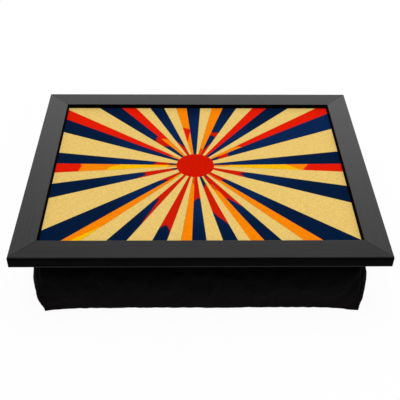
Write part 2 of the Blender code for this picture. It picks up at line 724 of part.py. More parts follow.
def joined_prisms(name, parts):
    """One closed solid from overlapping prisms of (outline, low, high)."""
    base = prism(name, *parts[0])
    holder = bpy.data.objects.new(name, base)
    bpy.context.scene.collection.objects.link(holder)
    added = []
    for number, part in enumerate(parts[1:]):
        other = bpy.data.objects.new(f"{name} part {number}", prism(f"{name} part {number}", *part))
        bpy.context.scene.collection.objects.link(other)
        union = holder.modifiers.new("union", "BOOLEAN")
        union.operation = "UNION"
        union.solver = "EXACT"
        union.object = other
        added.append(other)
    evaluated = holder.evaluated_get(bpy.context.evaluated_depsgraph_get())
    mesh = bpy.data.meshes.new_from_object(evaluated)
    mesh.name = name
    for leftover in (holder, *added):
        bpy.data.objects.remove(leftover)
    return mesh


def coil_profile():
    """A coil's section: flat on its tape, rounded outside."""
    radius = COIL_DEPTH * COIL_ROUNDING
    half = COIL_WIDTH / 2
    profile = [(-half, COIL_BACK), (half, COIL_BACK)]
    profile += arc((half - radius, COIL_FRONT - radius), radius, 0, 90, COIL_STEPS)
    profile += arc((radius - half, COIL_FRONT - radius), radius, 90, 180, COIL_STEPS)
    return profile


def build_zip(cushion, slider_body, pull_body, tape, metal):
    origin = (0.0, BELLY_HALF_DEPTH, BELLY_HEIGHT)
    chain_half = ZIP_HALF_LENGTH - STOP_LENGTH - SEAT_GAP
    length = 2 * ZIP_HALF_LENGTH
    stop_x = ZIP_HALF_LENGTH - STOP_LENGTH / 2
    stop_front = COIL_FRONT + SEAT_GAP
    for side, sign in (("upper", 1), ("lower", -1)):
        tape_name, coil_name, stop_name = f"zip_tape_{side}", f"zip_coil_{side}", f"zip_top_stop_{side}"
        tape_middle = sign * (COIL_INNER_EDGE + ZIP_TAPE_WIDTH / 2)
        coil_middle = sign * (COIL_INNER_EDGE + COIL_WIDTH / 2)
        tape_outline = rectangle(length, ZIP_TAPE_WIDTH, (0.0, tape_middle))
        tape_mesh = stand_up(prism(tape_name, tape_outline, TAPE_BACK, TAPE_FRONT))
        add_object(tape_name, tape_mesh, tape, cushion, origin)
        coil_section = [(coil_middle + y, z) for y, z in coil_profile()]
        coil_mesh = stand_up(swept(coil_name, coil_section, lambda across: chain_half))
        add_object(coil_name, coil_mesh, tape, cushion, origin)
        stop_outline = rectangle(STOP_LENGTH, COIL_WIDTH, (stop_x, coil_middle))
        stop_mesh = stand_up(prism(stop_name, stop_outline, COIL_BACK, stop_front))
        add_object(stop_name, stop_mesh, metal, cushion, origin)
    bottom = rectangle(STOP_LENGTH, 2 * COIL_OUTER_EDGE, (-stop_x, 0.0))
    bottom_mesh = stand_up(prism("zip_bottom_stop", bottom, COIL_BACK, stop_front))
    add_object("zip_bottom_stop", bottom_mesh, metal, cushion, origin)
    add_object("zip_slider", slider_mesh(), metal, slider_body)
    add_object("zip_pull", pull_mesh(), metal, pull_body)


def slider_mesh():
    """Two plates, the wedge between the coils, flanges outside them, and the bridge that holds the pull."""
    flange_middle = SLIDER_HALF_WIDTH - SLIDER_FLANGE / 2
    half = SLIDER_LENGTH / 2
    overlap = SLIDER_PLATE / 2
    plate = clipped_rectangle(SLIDER_LENGTH, 2 * SLIDER_HALF_WIDTH, SLIDER_CORNER)
    post = BRIDGE_BAR
    bridge_top = SLIDER_OUTER_FRONT + BRIDGE_OPENING
    post_x = BRIDGE_LENGTH / 2 - post / 2
    wedge_x = half - SLIDER_WEDGE_LENGTH / 2
    parts = [
        (plate, SLIDER_OUTER_BACK, SLIDER_OUTER_FRONT),
        (plate, SLIDER_INNER_BACK, SLIDER_INNER_FRONT),
        (
            rectangle(SLIDER_WEDGE_LENGTH, 2 * WEDGE_HALF_WIDTH, (wedge_x, 0.0)),
            SLIDER_INNER_FRONT - overlap,
            SLIDER_OUTER_BACK + overlap,
        ),
    ]
    for sign in (-1, 1):
        flange = rectangle(SLIDER_LENGTH - 2 * SLIDER_CORNER, SLIDER_FLANGE, (0.0, sign * flange_middle))
        parts.append((flange, COIL_BACK, SLIDER_OUTER_BACK + overlap))
        post_outline = rectangle(post, 2 * post, (sign * post_x, 0.0))
        parts.append((post_outline, SLIDER_OUTER_FRONT - overlap, bridge_top + overlap))
    parts.append((rectangle(BRIDGE_LENGTH, 2 * post), bridge_top, bridge_top + post))
    return stand_up(joined_prisms("zip_slider", parts))


def pull_mesh():
    """The pull lies along -X. Its end bar is the hinge, under the slider's bridge."""
    half = PULL_THICKNESS / 2
    outline = [(half, -PULL_WIDTH / 2), (half, PULL_WIDTH / 2)]
    end = PULL_WIDTH * PULL_TAPER / 2
    outline += arc((end - PULL_LENGTH, 0.0), end, 90, 270, PULL_END_STEPS)
    window = rectangle(PULL_WINDOW, PULL_WIDTH - 2 * PULL_ARM, (-half - PULL_WINDOW / 2, 0.0))
    return stand_up(prism("zip_pull", outline, -half, half, (window,)))


def build():
    for leftover in list(bpy.data.objects):
        bpy.data.objects.remove(leftover)
    wood = finish("satin_charcoal_wood", (0.018, 0.018, 0.019), 0.42)
    steel = finish("bright_steel", (0.55, 0.55, 0.56), 0.35, 1.0)
    printed = finish("printed_laminate", (0.78, 0.56, 0.17), 0.5)
    board = finish("hardboard", (0.18, 0.10, 0.05), 0.7)
    card = finish("backing_board", (0.20, 0.13, 0.08), 0.8)
    hook_tape = finish("black_tape", (0.010, 0.010, 0.010), 0.9)
    cloth = finish("black_cloth", (0.004, 0.0035, 0.004), 0.95)
    lining = finish("white_lining", (0.6, 0.6, 0.57), 0.9)
    beads = finish("polystyrene_beads", (0.85, 0.85, 0.85), 0.6)
    metal = finish("black_zip_metal", (0.03, 0.03, 0.03), 0.4, 1.0)
    cushion = add_body("cushion", (0.0, 0.0, 0.0))
    tray = add_body("tray", (0.0, 0.0, FRAME_BOTTOM), cushion)
    slider_x = SLIDER_TRAVEL / 2
    slider = add_body("zip_slider_body", (slider_x, BELLY_HALF_DEPTH, BELLY_HEIGHT), cushion)
    pull = add_body("zip_pull_body", (0.0, PULL_AXIS, 0.0), slider)
    build_frame(tray, wood, steel)
    build_boards(tray, printed, board, card)
    build_strips(tray, cushion, hook_tape)
    faces = cushion_faces()
    steps = inward_steps(faces)
    build_cover(cushion, faces, steps, cloth)
    build_filling(cushion, faces, steps, lining, beads)
    build_zip(cushion, slider, pull, hook_tape, metal)


build()
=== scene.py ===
"""The finished look of a breakfast tray for the lap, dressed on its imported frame.

Metres, +Z up, in the frame's own coordinates: X runs along the tray's long side, -Y is the front.
The wood, boards, nails, tapes and zip metal keep their solids and get materials. The print, the sewn cover,
its inner bag and beads, the zip's coils and the stitching are modelled here.
"""

from math import atan2, copysign, cos, pi, prod, radians, sin, tan

import bmesh
import bpy
import numpy as np
from mathutils import Matrix, Vector


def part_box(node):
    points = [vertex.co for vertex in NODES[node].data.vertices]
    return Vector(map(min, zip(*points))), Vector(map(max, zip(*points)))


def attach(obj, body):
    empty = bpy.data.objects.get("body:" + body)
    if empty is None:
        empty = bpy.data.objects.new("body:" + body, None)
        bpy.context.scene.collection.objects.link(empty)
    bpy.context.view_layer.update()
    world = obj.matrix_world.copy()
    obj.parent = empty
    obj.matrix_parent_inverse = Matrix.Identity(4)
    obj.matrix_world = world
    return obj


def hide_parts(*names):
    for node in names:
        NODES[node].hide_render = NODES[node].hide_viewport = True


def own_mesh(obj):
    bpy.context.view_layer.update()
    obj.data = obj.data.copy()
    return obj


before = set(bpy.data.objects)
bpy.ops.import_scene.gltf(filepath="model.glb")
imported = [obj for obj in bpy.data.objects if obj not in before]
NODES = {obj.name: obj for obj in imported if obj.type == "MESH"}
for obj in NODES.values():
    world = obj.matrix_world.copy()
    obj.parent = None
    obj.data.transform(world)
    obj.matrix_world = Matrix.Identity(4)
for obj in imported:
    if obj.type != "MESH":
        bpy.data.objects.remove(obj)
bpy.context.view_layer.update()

# Camera, fitted to the photograph's corners. The target is on the tray's top.
PICTURE_PIXELS = 400
FOCAL_PIXELS = 713.8
SENSOR_WIDTH = 36.0
CAMERA_TARGET = (-0.0002, -0.0709, 0.0960)
CAMERA_DISTANCE = 0.8648
CAMERA_AZIMUTH = radians(-1.333)
CAMERA_ELEVATION = radians(40.236)
CAMERA_ROLL = radians(0.817)

# Colours, as 0 to 255 in sRGB
CREAM = (228, 193, 109)
NAVY = (4, 25, 55)
BRIGHT_NAVY = (8, 35, 77)
RED = (222, 26, 4)
DEEP_RED = (202, 26, 5)
ORANGE = (244, 130, 4)
BURNT = (216, 78, 4)
YELLOW = (245, 183, 3)
MUSTARD = (206, 166, 24)
DISC_RED = (201, 21, 0)
BLACK_INK = (8, 7, 7)
INK_LINE = (96, 88, 40)
PAPER = (236, 234, 226)

# The sheet's rays, clockwise from its top left corner, in millimetres. Each holds the place where its later
# edge meets the tray's sight edge, from that side's middle, and its colours from the rim inward. Between
# them are the distances from the sun's middle at which they meet: on the ray's earlier side, in its middle
# and on its later side.
RAYS_TO_BACK = (
    (-141, CREAM),
    (-109.5, NAVY, (76, 79, 83), DEEP_RED, (58, 56, 54), NAVY),
    (-89, RED, (74, 71, 63), ORANGE),
    (-68.5, CREAM),
    (-49, NAVY, (57, 49, 37), DEEP_RED),
    (-31, CREAM),
    (-16.5, ORANGE, (88, 86, 82), RED, (53, 62, 76), ORANGE),
    (3, NAVY),
    (20, CREAM),
    (35.5, ORANGE, (40, 38, 36), BURNT),
    (55, NAVY, (80, 78, 79), DEEP_RED, (70, 71, 66), NAVY, (37, 39, 56), DEEP_RED),
    (78.5, CREAM),
    (98.5, RED),
    (129.5, NAVY),
    (170, CREAM),
)
RAYS_TO_RIGHT = (
    (129, RED, (69, 71, 74), ORANGE),
    (90.5, BRIGHT_NAVY, (50, 48, 46), DEEP_RED, (36, 34, 33), NAVY),
    (37, CREAM),
    (10, NAVY),
    (-7, RED, (146, 145, 142), ORANGE, (116, 128, 138), YELLOW, (47, 43, 36), ORANGE),
    (-36.5, CREAM),
    (-69, NAVY, (68, 62, 72), DEEP_RED),
    (-136, CREAM),
)
RAYS_TO_FRONT = (
    (147.5, NAVY, (51, 46, 47), DEEP_RED),
    (124.5, ORANGE, (48, 44, 38), BURNT),
    (97.5, CREAM),
    (76.5, NAVY, (99, 82, 76), DEEP_RED, (24, 29, 35), NAVY),
    (60, ORANGE, (62, 56, 50), BURNT, (46, 43, 40), DEEP_RED),
    (45, CREAM, (-40, 22, 74), MUSTARD),
    (27, NAVY, (122, 106, 94), DEEP_RED, (40, 43, 47), NAVY),
    (7, CREAM),
    (-10.5, NAVY, (68, 67, 74), DEEP_RED),
    (-23.5, ORANGE, (42, 38, 34), BURNT),
    (-40.5, CREAM),
    (-58, NAVY, (133, 121, 126), DEEP_RED),
    (-89, CREAM),
    (-113, NAVY, (133, 85, 88), DEEP_RED),
    (-144.5, CREAM),
    (-167.5, YELLOW, (160, 196, 260), ORANGE, (46, 40, 34), MUSTARD),
)
RAYS_TO_LEFT = (
    (-119, NAVY, (47, 47, 56), DEEP_RED),
    (-60, CREAM),
    (-32, NAVY, (78, 63, 70), DEEP_RED, (29, 30, 33), NAVY),
    (-9, CREAM),
    (10.5, RED, (151, 149, 148), ORANGE, (114, 108, 98), YELLOW, (36, 33, 30), ORANGE),
    (34, NAVY, (55, 52, 50), DEEP_RED, (34, 33, 32), NAVY),
    (82, CREAM),
    (113.5, NAVY),
    (137.5, RED, (40, 37, 34), ORANGE),
)
MM = 1000  # in a metre
MOST_COLOURS = 4
PRINTED_HALF_LENGTH = 0.185  # past it, the sheet's ends are black
SUN_CENTRE = (-0.0052, 0.0062)
SUN_RADIUS = 0.0245
SUN_STEPS = 144
TURN_SOFTNESS = 0.0016  # half the width over which one colour of a ray gives way to the next
INK_LINE_WIDTHS = (0.0001, 0.00055)  # of the line round a cream ray: at its full depth, and in all
INK_SOFTNESS = 0.0002
BRIGHT_NAVY_REACH = (0.135, 0.085)  # distances from the sun between which navy brightens
LINEN_PITCH = 0.0011
WELDED = 1e-6

# The rails' sides: how far below the top a painted shade darkens them, and how far above the underside a
# painted highlight lightens their edge
RAIL_PAINTED_SHADE = (0.007, 0.001)
RAIL_PAINTED_EDGE_HIGHLIGHT = (0.0018, 0.0013)

# The cushion's form, as in its solids
CUSHION_HEIGHT = 0.0807
BELLY_HALF_LENGTH = 0.195
BELLY_HALF_DEPTH = 0.164
FOOT_HALF_LENGTH = 0.1888
FOOT_HALF_DEPTH = 0.1678
SHOULDER_HALF_LENGTH = 0.186
SHOULDER_HALF_DEPTH = 0.153
FOOT_DRAWN_IN = 0.0044
SHOULDER_DRAWN_IN = 0.004
DRAWN_IN_POWER = 9
FOOT_CORNER_HEIGHT = 0.0045
FOOT_SEAM_HEIGHT = 0.0065
SHOULDER_CROWN_RISE = 0.0047
SHOULDER_SEAM_HEIGHT = CUSHION_HEIGHT - SHOULDER_CROWN_RISE
BELLY_HEIGHT = 0.042
BELLY_POWER = 50
BELLY_ROUNDNESS = 0.38
FOOT_CROWN_WIDTH = 0.026
SHOULDER_CROWN_WIDTH = 0.02
SETTLE = 0.0005
CLOTH_THICKNESS = 0.0012
JOINED_PLACES = 1e5  # in a metre: seams join where their points round to the same place
SLACK_CORNER = (-FOOT_HALF_LENGTH, -FOOT_HALF_DEPTH, FOOT_CORNER_HEIGHT)  # less filled than the others
SLACK_REACH = (0.02, 0.022, 0.012)
SLACK_PULL = (0.0038, 0.0006, 0.0)

# The zip, as in its solids
ZIP_HALF_LENGTH = 0.15
ZIP_OPENING = 0.01
ZIP_TAPER = 0.008
FOLD_TAPER = 0.0035  # over which the drawn cloth's folded edges close
FOLD_TAPER_LINES = 6
FOLD_TAPER_MARGIN = 0.003  # share of the seam's half length that has no other columns beside these
ZIP_SKIN = 0.001  # the back's outermost depth, which is the strip round the zip
ZIP_BAND = 0.0132
COIL_STRAND = 0.00032  # radius
COIL_PITCH = 0.0013
COIL_HEADS_PAST_MIDDLE = 0.00025
COIL_STEPS = 10  # in a turn
COIL_SIDES = 5
METAL_EDGE_RADIUS = 0.00018  # of the slider and its pull

# Stitching: how far it runs from the edge that it holds, its pitch and its thread's radius
ZIP_STITCHING = (0.0016, 0.0029, 0.00022)
ZIP_STITCHING_PAST_END = 0.002
STRIP_STITCHING = (0.0018, 0.003, 0.00016)
STITCH_SIDES = 6
STITCH_GAP = 0.08  # share of the pitch that is left free at either end
STITCH_SUNK = 0.35  # share of the radius that it lies in the cloth at its ends
# A stitch swells along its length: shares of its length and of its radius
STITCH_SECTION = ((0.0, 0.55), (0.18, 1.0), (0.5, 1.15), (0.82, 1.0), (1.0, 0.55))

# Cloth: how finely it is simulated and drawn
SIM_CELLS = (80, 66, 16)  # along X, Y and Z
SIM_FRAMES = 22
SIM_CLEARANCE = 0.0004
SIM_FRICTION = 20.0
SIM_CLOTH = {
    "quality": 6,
    "mass": 0.25,
    "tension_stiffness": 20,
    "compression_stiffness": 12,
    "shear_stiffness": 6,
    "bending_stiffness": 0.6,
    "use_pressure": True,
    "uniform_pressure_force": 3.0,
    "shrink_min": -0.03,  # it is cut that much larger than the form that it covers
}
LONGEST_FOLD = 0.085
MOST_MOVE = 0.0014
DRAWN_CELL = 0.0032
EDGE_ROWS = (0.0, 0.0002, 0.0006, 0.0013, 0.0025, 0.0042)  # lines of the drawn cloth near a seam
FOLD_ROWS = (0.0, 0.0002, 0.0005, 0.001, 0.002)  # lines near the folded edges at the zip
SEAM_ROLL = 0.0013  # radius that the cloth turns down with into a seam
SEAM_ALLOWANCE = 0.003
ZIP_FOLD = 0.0006
FOLD_RETURN = 0.0003
PUCKER_DEPTH = 0.00055
PUCKER_REACH = 0.009
PUCKER_START = 0.004
PUCKER_LENGTH = 0.0065
FINE_PUCKER = (0.6, 0.55)  # depth and length of the finer puckers on these, as shares
FINE_PUCKER_SEED = 50  # added to the seam's own
WANDER_VALUES = 256
BAG_DEPTHS = (0.0019, 0.0045)  # of the inner bag under the cover, and behind the zip
FILLING_DEPTHS = (0.0026, 0.0052)
PAINTED_SHADE_HEIGHTS = (0.058, 0.08)  # from none to all of the cloth's painted shade under the tray, near black
PAINTED_TABLE_LIGHT_HEIGHTS = (0.06, 0.002)  # from none to all of its painted light from the table

# Light and floor. Each lamp's name, place, width and height, power and whether it shows in reflections.
AMBIENT = 0.36
LAMPS = (
    ("key", (0.0, 0.1, 3.0), (1.6, 1.6), 50.0, False),
    ("fill", (0.9, -0.9, 1.1), (1.2, 1.2), 3.5, False),
    ("behind", (0.16, 1.7, 1.0), (1.8, 0.9), 6.9, True),
)
LAMPS_AIM = (0.0, 0.0, 0.05)
FLOOR_HALF_SIZE = 6.0
FLOOR_DROP = 0.0002
FLOOR_WHITE = 0.95  # share of plain white in the floor that is seen, the rest takes the shadows
STOP_HALF_SIZE = 0.4

# The cushion's faces: the axis that each looks along, and which way. Its columns and rows lie along the
# other two axes.
FACES = {
    "bottom": (2, -1),
    "top": (2, 1),
    "front": (1, -1),
    "back": (1, 1),
    "left": (0, -1),
    "right": (0, 1),
}


def linear(colour):
    """Linear RGB of a colour written as 0 to 255 in sRGB."""
    shares = (c / 255 for c in colour)
    return tuple(s / 12.92 if s <= 0.04045 else ((s + 0.055) / 1.055) ** 2.4 for s in shares)


# Materials


class Look:
    """A material or world. Its calls add nodes and give back their outputs."""

    def __init__(self, name, kind="materials", shader="Principled BSDF", **sockets):
        self.owner = getattr(bpy.data, kind).new(name)
        self.owner.use_nodes = True
        self.tree = self.owner.node_tree
        self.shader = self.tree.nodes[shader]
        self.finish(**sockets)

    def put(self, node, values):
        """Sets or links a node's inputs, named or numbered."""
        for key, value in values.items():
            if isinstance(value, bpy.types.NodeSocket):
                self.tree.links.new(value, node.inputs[key])
            else:
                node.inputs[key].default_value = value

    def node(self, kind, inputs, **settings):
        made = self.tree.nodes.new("ShaderNode" + kind)
        for key, value in settings.items():
            setattr(made, key, value)
        self.put(made, inputs)
        return made.outputs

    def math(self, operation, *values):
        return self.node("Math", dict(enumerate(values)), operation=operation)[0]

    def times(self, first, second):
        return self.math("MULTIPLY", first, second)

    def scaled(self, value, factor, start):
        return self.math("MULTIPLY_ADD", value, factor, start)

    def vector(self, operation, *values, output=0):
        return self.node("VectorMath", dict(enumerate(values)), operation=operation)[output]

    def parts(self, vector):
        return self.node("SeparateXYZ", {"Vector": vector})

    def place(self, stretch=(1.0, 1.0, 1.0)):
        """The point on the piece, in metres at rest, stretched."""
        return self.vector("MULTIPLY", self.node("TexCoord", {})["Object"], stretch)

    def along_cloth(self, stretch=(1.0, 1.0, 1.0)):
        """The point on a cut panel of cloth, in metres along its threads."""
        return self.vector("MULTIPLY", self.node("UVMap", {}, uv_map="weave")[0], stretch)

    def noise(self, where, scale, detail=3.0, roughness=0.55, distortion=0.0):
        inputs = {"Vector": where, "Scale": scale, "Detail": detail, "Roughness": roughness}
        return self.node("TexNoise", {**inputs, "Distortion": distortion})["Fac"]

    def ease(self, value, low, high, start=0.0, end=1.0):
        """Runs smoothly from start to end as the value goes from low to high."""
        inputs = {"Value": value, "From Min": low, "From Max": high, "To Min": start, "To Max": end}
        return self.node("MapRange", inputs, interpolation_type="SMOOTHSTEP")[0]

    def mix(self, share, first, second, blend="MIX"):
        """Two colours mixed, each given as 0 to 255 in sRGB or as a socket."""
        pair = [c if isinstance(c, bpy.types.NodeSocket) else (*linear(c), 1.0) for c in (first, second)]
        inputs = {0: share, 6: pair[0], 7: pair[1]}
        return self.node("Mix", inputs, data_type="RGBA", blend_type=blend)[2]

    def attribute(self, name, output="Vector"):
        return self.node("Attribute", {}, attribute_name=name)[output]

    def bump(self, height, depth, strength=1.0, below=None):
        inputs = {"Height": height, "Distance": depth, "Strength": strength}
        if below is not None:
            inputs["Normal"] = below
        return self.node("Bump", inputs)[0]

    def weave(self, where, pitch):
        """Height of a plain weave from 0 to 1, its threads a pitch apart."""
        x, y, _ = self.parts(where)
        waves = [self.math("SINE", self.times(part, 2 * pi / pitch)) for part in (x, y)]
        return self.scaled(self.times(*waves), 0.5, 0.5)

    def seen(self):
        """1 for what the camera sees, straight, mirrored or through glass, and 0 for what lights."""
        rays = self.node("LightPath", {})
        share = self.math("MAXIMUM", rays["Is Camera Ray"], rays["Is Glossy Ray"])
        return self.math("MAXIMUM", share, rays["Is Transmission Ray"])

    def finish(self, **sockets):
        """Sets or links the shader's inputs, and gives back the material or world."""
        self.put(self.shader, {key.replace("_", " "): value for key, value in sockets.items()})
        return self.owner


def rail_look(grain):
    look = Look("satin_black_" + grain)
    stretch = (5.0, 620.0, 620.0) if grain == "x" else (620.0, 5.0, 620.0)
    streak = look.noise(look.place(stretch), 1.0, 4.0, 0.6)
    cloud = look.noise(look.place(), 18.0, 2.0)
    up = look.parts(look.node("TexCoord", {})["Normal"])[2]
    top, under = look.ease(up, 0.55, 0.85), look.ease(up, -0.3, -0.6)
    satin = look.mix(look.ease(streak, 0.3, 0.7), (10, 10, 11), (28, 28, 28))
    # The sides' colour: a rougher finish than the top's, and darker than it, which is painted shade
    matte_shaded_side = look.mix(cloud, (6, 5, 5), (11, 9, 8))
    low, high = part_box("frame_rail_front")
    height = look.parts(look.place())[2]
    # Painted shade: the sides darken to near black below the top
    painted_shade = look.ease(height, *(high.z - depth for depth in RAIL_PAINTED_SHADE))
    # Painted highlight: a light line along the sides' lower edge, as light from the table
    painted_table_light = look.ease(height, *(low.z + rise for rise in RAIL_PAINTED_EDGE_HIGHLIGHT))
    matte_shaded_side = look.mix(painted_table_light, look.mix(painted_shade, matte_shaded_side, (2, 2, 2)), (62, 61, 60))
    gloss = look.scaled(top, 0.19 if grain == "x" else 0.30, 0.02)
    rough = look.scaled(streak, 0.14, 0.33)
    return look.finish(
        Base_Color=look.mix(top, matte_shaded_side, satin),
        Roughness=look.math("ADD", rough, look.scaled(top, -0.35, 0.35)),
        Specular_IOR_Level=look.scaled(under, 0.14, gloss),
        Normal=look.bump(streak, 0.00008),
    )


def print_look():
    """Rays that turn from one colour to the next, printed on a laminate with a linen finish."""
    look = Look("printed_rays", Specular_IOR_Level=0.01)
    where = look.place()
    from_sun = look.vector("SUBTRACT", where, (*SUN_CENTRE, 0.0))
    flat = look.vector("MULTIPLY", from_sun, (1.0, 1.0, 0.0))
    radius = look.vector("LENGTH", flat, output="Value")
    axis = look.attribute("ray_axis")
    along = look.vector("DOT_PRODUCT", flat, axis, output="Value")
    half_width = look.times(along, look.attribute("ray_spread", "Fac"))
    aside = look.parts(look.vector("CROSS_PRODUCT", flat, axis))[2]
    from_edge = look.math("SUBTRACT", half_width, look.math("ABSOLUTE", aside))
    across = look.math("DIVIDE", aside, half_width)
    wash = look.noise(where, 60.0, 1.5, 0.5, 0.2)
    fringe = look.noise(where, 420.0, 2.0)
    drift = look.scaled(fringe, 0.003, look.scaled(wash, 0.012, -0.0075))
    reach = look.math("ADD", radius, drift)
    colour = look.attribute(f"ray_colour_{MOST_COLOURS - 1}", "Color")
    for number in reversed(range(MOST_COLOURS - 1)):
        bend = look.parts(look.attribute(f"ray_turn_{number}"))
        turn = look.scaled(look.scaled(bend[2], across, bend[1]), across, bend[0])
        past = look.math("SUBTRACT", reach, turn)
        outer = look.attribute(f"ray_colour_{number}", "Color")
        colour = look.mix(look.ease(past, -TURN_SOFTNESS, TURN_SOFTNESS), colour, outer)
    navy = look.ease(look.node("SeparateColor", {0: colour})[0], 0.05, 0.01)
    glow = look.ease(reach, *BRIGHT_NAVY_REACH)
    colour = look.mix(look.times(navy, glow), colour, BRIGHT_NAVY)
    line = look.ease(from_edge, *INK_LINE_WIDTHS, 0.75, 0.0)
    lined = look.times(line, look.attribute("ray_lined", "Fac"))
    colour = look.mix(lined, colour, INK_LINE)
    from_middle = look.math("ABSOLUTE", look.parts(where)[0])
    ends = look.ease(from_middle, PRINTED_HALF_LENGTH, PRINTED_HALF_LENGTH + INK_SOFTNESS)
    colour = look.mix(ends, colour, BLACK_INK)
    fibre = look.noise(look.place((190.0, 900.0, 190.0)), 1.0, 2.0, 0.6)
    warp = look.noise(look.place((900.0, 190.0, 190.0)), 1.0, 2.0, 0.6)
    cloud = look.noise(where, 150.0, 2.0, 0.6)
    weave = look.weave(where, LINEN_PITCH)
    tone = look.scaled(fibre, 0.60, 0.70)
    for share, depth, start in ((warp, 0.50, 0.75), (cloud, 0.10, 0.95), (weave, 0.07, 0.965)):
        tone = look.times(tone, look.scaled(share, depth, start))
    grey = look.node("CombineColor", {0: tone, 1: tone, 2: tone})[0]
    return look.finish(
        Base_Color=look.mix(1.0, colour, grey, "MULTIPLY"),
        Roughness=look.scaled(fibre, 0.15, 0.7),
        Normal=look.bump(weave, 0.00005, 0.6),
    )


def plain_look(name, gloss, grain, dark, light, rough):
    """A smooth surface with a fine grain."""
    look = Look(name, Specular_IOR_Level=gloss)
    share = look.noise(look.place(), *grain)
    return look.finish(Base_Color=look.mix(share, dark, light), Roughness=look.scaled(share, *rough))


def board_look(name, dark, light, scale, roughness):
    """Pressed fibre: short strands over a soft cloud."""
    look = Look(name, Specular_IOR_Level=0.25)
    strands = look.noise(look.place((1.0, 2.4, 1.0)), scale, 6.0, 0.75, 0.8)
    cloud = look.noise(look.place(), 30.0, 2.0)
    share = look.scaled(cloud, 0.4, look.times(strands, 0.6))
    return look.finish(
        Base_Color=look.mix(look.ease(share, 0.35, 0.65), dark, light),
        Roughness=look.scaled(strands, 0.12, roughness),
        Normal=look.bump(strands, 0.0001, 0.5),
    )


def metal_look(name, dark, light, roughness):
    """Metal with fine rubbing marks and a few worn spots."""
    look = Look(name, Metallic=1.0)
    rub = look.noise(look.place((1400.0, 420.0, 1400.0)), 1.0, 3.0)
    worn = look.ease(look.noise(look.place(), 300.0, 4.0, 0.6), 0.35, 0.8)
    return look.finish(
        Base_Color=look.mix(worn, dark, light),
        Roughness=look.scaled(rub, 0.16, roughness),
        Normal=look.bump(rub, 0.000006, 0.5),
    )


def cloth_look(name, dark, light, pitch, sheen, painted_lit_colour=None):
    """Woven cloth: threads, slubs and a faint mottling, with a dry bloom at grazing angles.

    Where a painted lit colour is given, painted light from the table lightens it towards that colour near
    the table, and painted shade darkens it to near black under the tray.
    """
    look = Look(name, Specular_IOR_Level=0.022, Sheen_Weight=sheen, Sheen_Roughness=0.55)
    thread = look.weave(look.along_cloth(), pitch)
    slub = look.noise(look.along_cloth((90.0, 900.0, 1.0)), 1.0, 3.0, 0.6)
    mottle = look.noise(look.place(), 210.0, 4.0, 0.7)
    share = look.scaled(slub, 0.35, look.times(mottle, 0.65))
    colour = look.mix(look.ease(share, 0.38, 0.64), dark, light)
    if painted_lit_colour:
        height = look.scaled(mottle, 0.012, look.parts(look.place())[2])
        # Painted shade: near black high up, under the tray
        colour = look.mix(look.ease(height, *PAINTED_SHADE_HEIGHTS), colour, (0, 0, 0))
        # Painted light from the table: lighter low down, near the table
        painted_table_light = look.times(look.ease(height, *PAINTED_TABLE_LIGHT_HEIGHTS), look.scaled(slub, 0.4, 0.8))
        colour = look.mix(painted_table_light, colour, painted_lit_colour)
    threads = look.bump(thread, 0.00018, 0.55)
    return look.finish(
        Base_Color=colour,
        Roughness=look.scaled(mottle, 0.1, 0.85),
        Normal=look.bump(mottle, 0.00035, 0.5, threads),
    )


def tape_look(name, dark, light, pitch):
    """A woven narrow tape, seen on solids that have no cloth map."""
    look = Look(name, Specular_IOR_Level=0.15)
    x, y, z = look.parts(look.place())
    where = look.node("CombineXYZ", {0: x, 1: look.math("ADD", y, z)})[0]
    thread = look.weave(where, pitch)
    fuzz = look.noise(look.place(), 1500.0, 3.0, 0.7)
    return look.finish(
        Base_Color=look.mix(look.times(thread, fuzz), dark, light),
        Roughness=look.scaled(fuzz, 0.1, 0.82),
        Normal=look.bump(thread, 0.0002, 0.7),
    )


def bead_look():
    """Small foam beads packed against each other, their colour darker where they meet as painted shade."""
    look = Look("foam_beads", Specular_IOR_Level=0.3)
    cells = look.node("TexVoronoi", {"Vector": look.place(), "Scale": 280.0})["Distance"]
    dome = look.ease(cells, 0.0, 0.75, 1.0, 0.0)
    # Painted shade: the beads' colour darkens towards where they meet
    return look.finish(
        Base_Color=look.mix(dome, (190, 190, 188), (243, 243, 241)),
        Roughness=look.scaled(dome, -0.1, 0.75),
        Normal=look.bump(dome, 0.0012),
    )


# Pieces


def placed(name, data):
    """A new object with this data, in the scene."""
    made = bpy.data.objects.new(name, data)
    bpy.context.scene.collection.objects.link(made)
    return made


def shaped(name, points, faces):
    """A new object with a mesh of these points and faces, in the scene."""
    mesh = bpy.data.meshes.new(name)
    mesh.from_pydata([tuple(p) for p in points], [], faces)
    return placed(name, mesh)


def square(name, half_size, height):
    """A level square over the table's middle."""
    corners = [(x * half_size, y * half_size, height) for x, y in ((-1, -1), (1, -1), (1, 1), (-1, 1))]
    return shaped(name, corners, [(0, 1, 2, 3)])


def piece(name, points, faces, material, body, slot, *replaced):
    """A mesh piece with a material, that rides on a body and may stand for CAD nodes. Its slot is not used.
    """
    made = shaped(name, points, faces)
    made.data.materials.append(material)
    made.data.shade_smooth()
    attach(made, body)
    if replaced:
        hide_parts(*replaced)
    return made


def dress(material, *names):
    """Gives CAD nodes a material."""
    for name in names:
        mesh = NODES[name].data
        mesh.materials.clear()
        mesh.materials.append(material)


def named(prefix):
    return [name for name in sorted(NODES) if name.startswith(prefix)]


# The print


def ray_edges():
    """The rays in order, as (colours and turns, where its later edge meets the sight edge)."""
    front_y, back_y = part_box("frame_rail_front")[1].y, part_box("frame_rail_back")[0].y
    left_x, right_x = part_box("frame_rail_left")[1].x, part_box("frame_rail_right")[0].x
    edges = [(ray, (x / MM, back_y)) for x, *ray in RAYS_TO_BACK]
    edges += [(ray, (right_x, y / MM)) for y, *ray in RAYS_TO_RIGHT]
    edges += [(ray, (x / MM, front_y)) for x, *ray in RAYS_TO_FRONT]
    return edges + [(ray, (left_x, y / MM)) for y, *ray in RAYS_TO_LEFT]


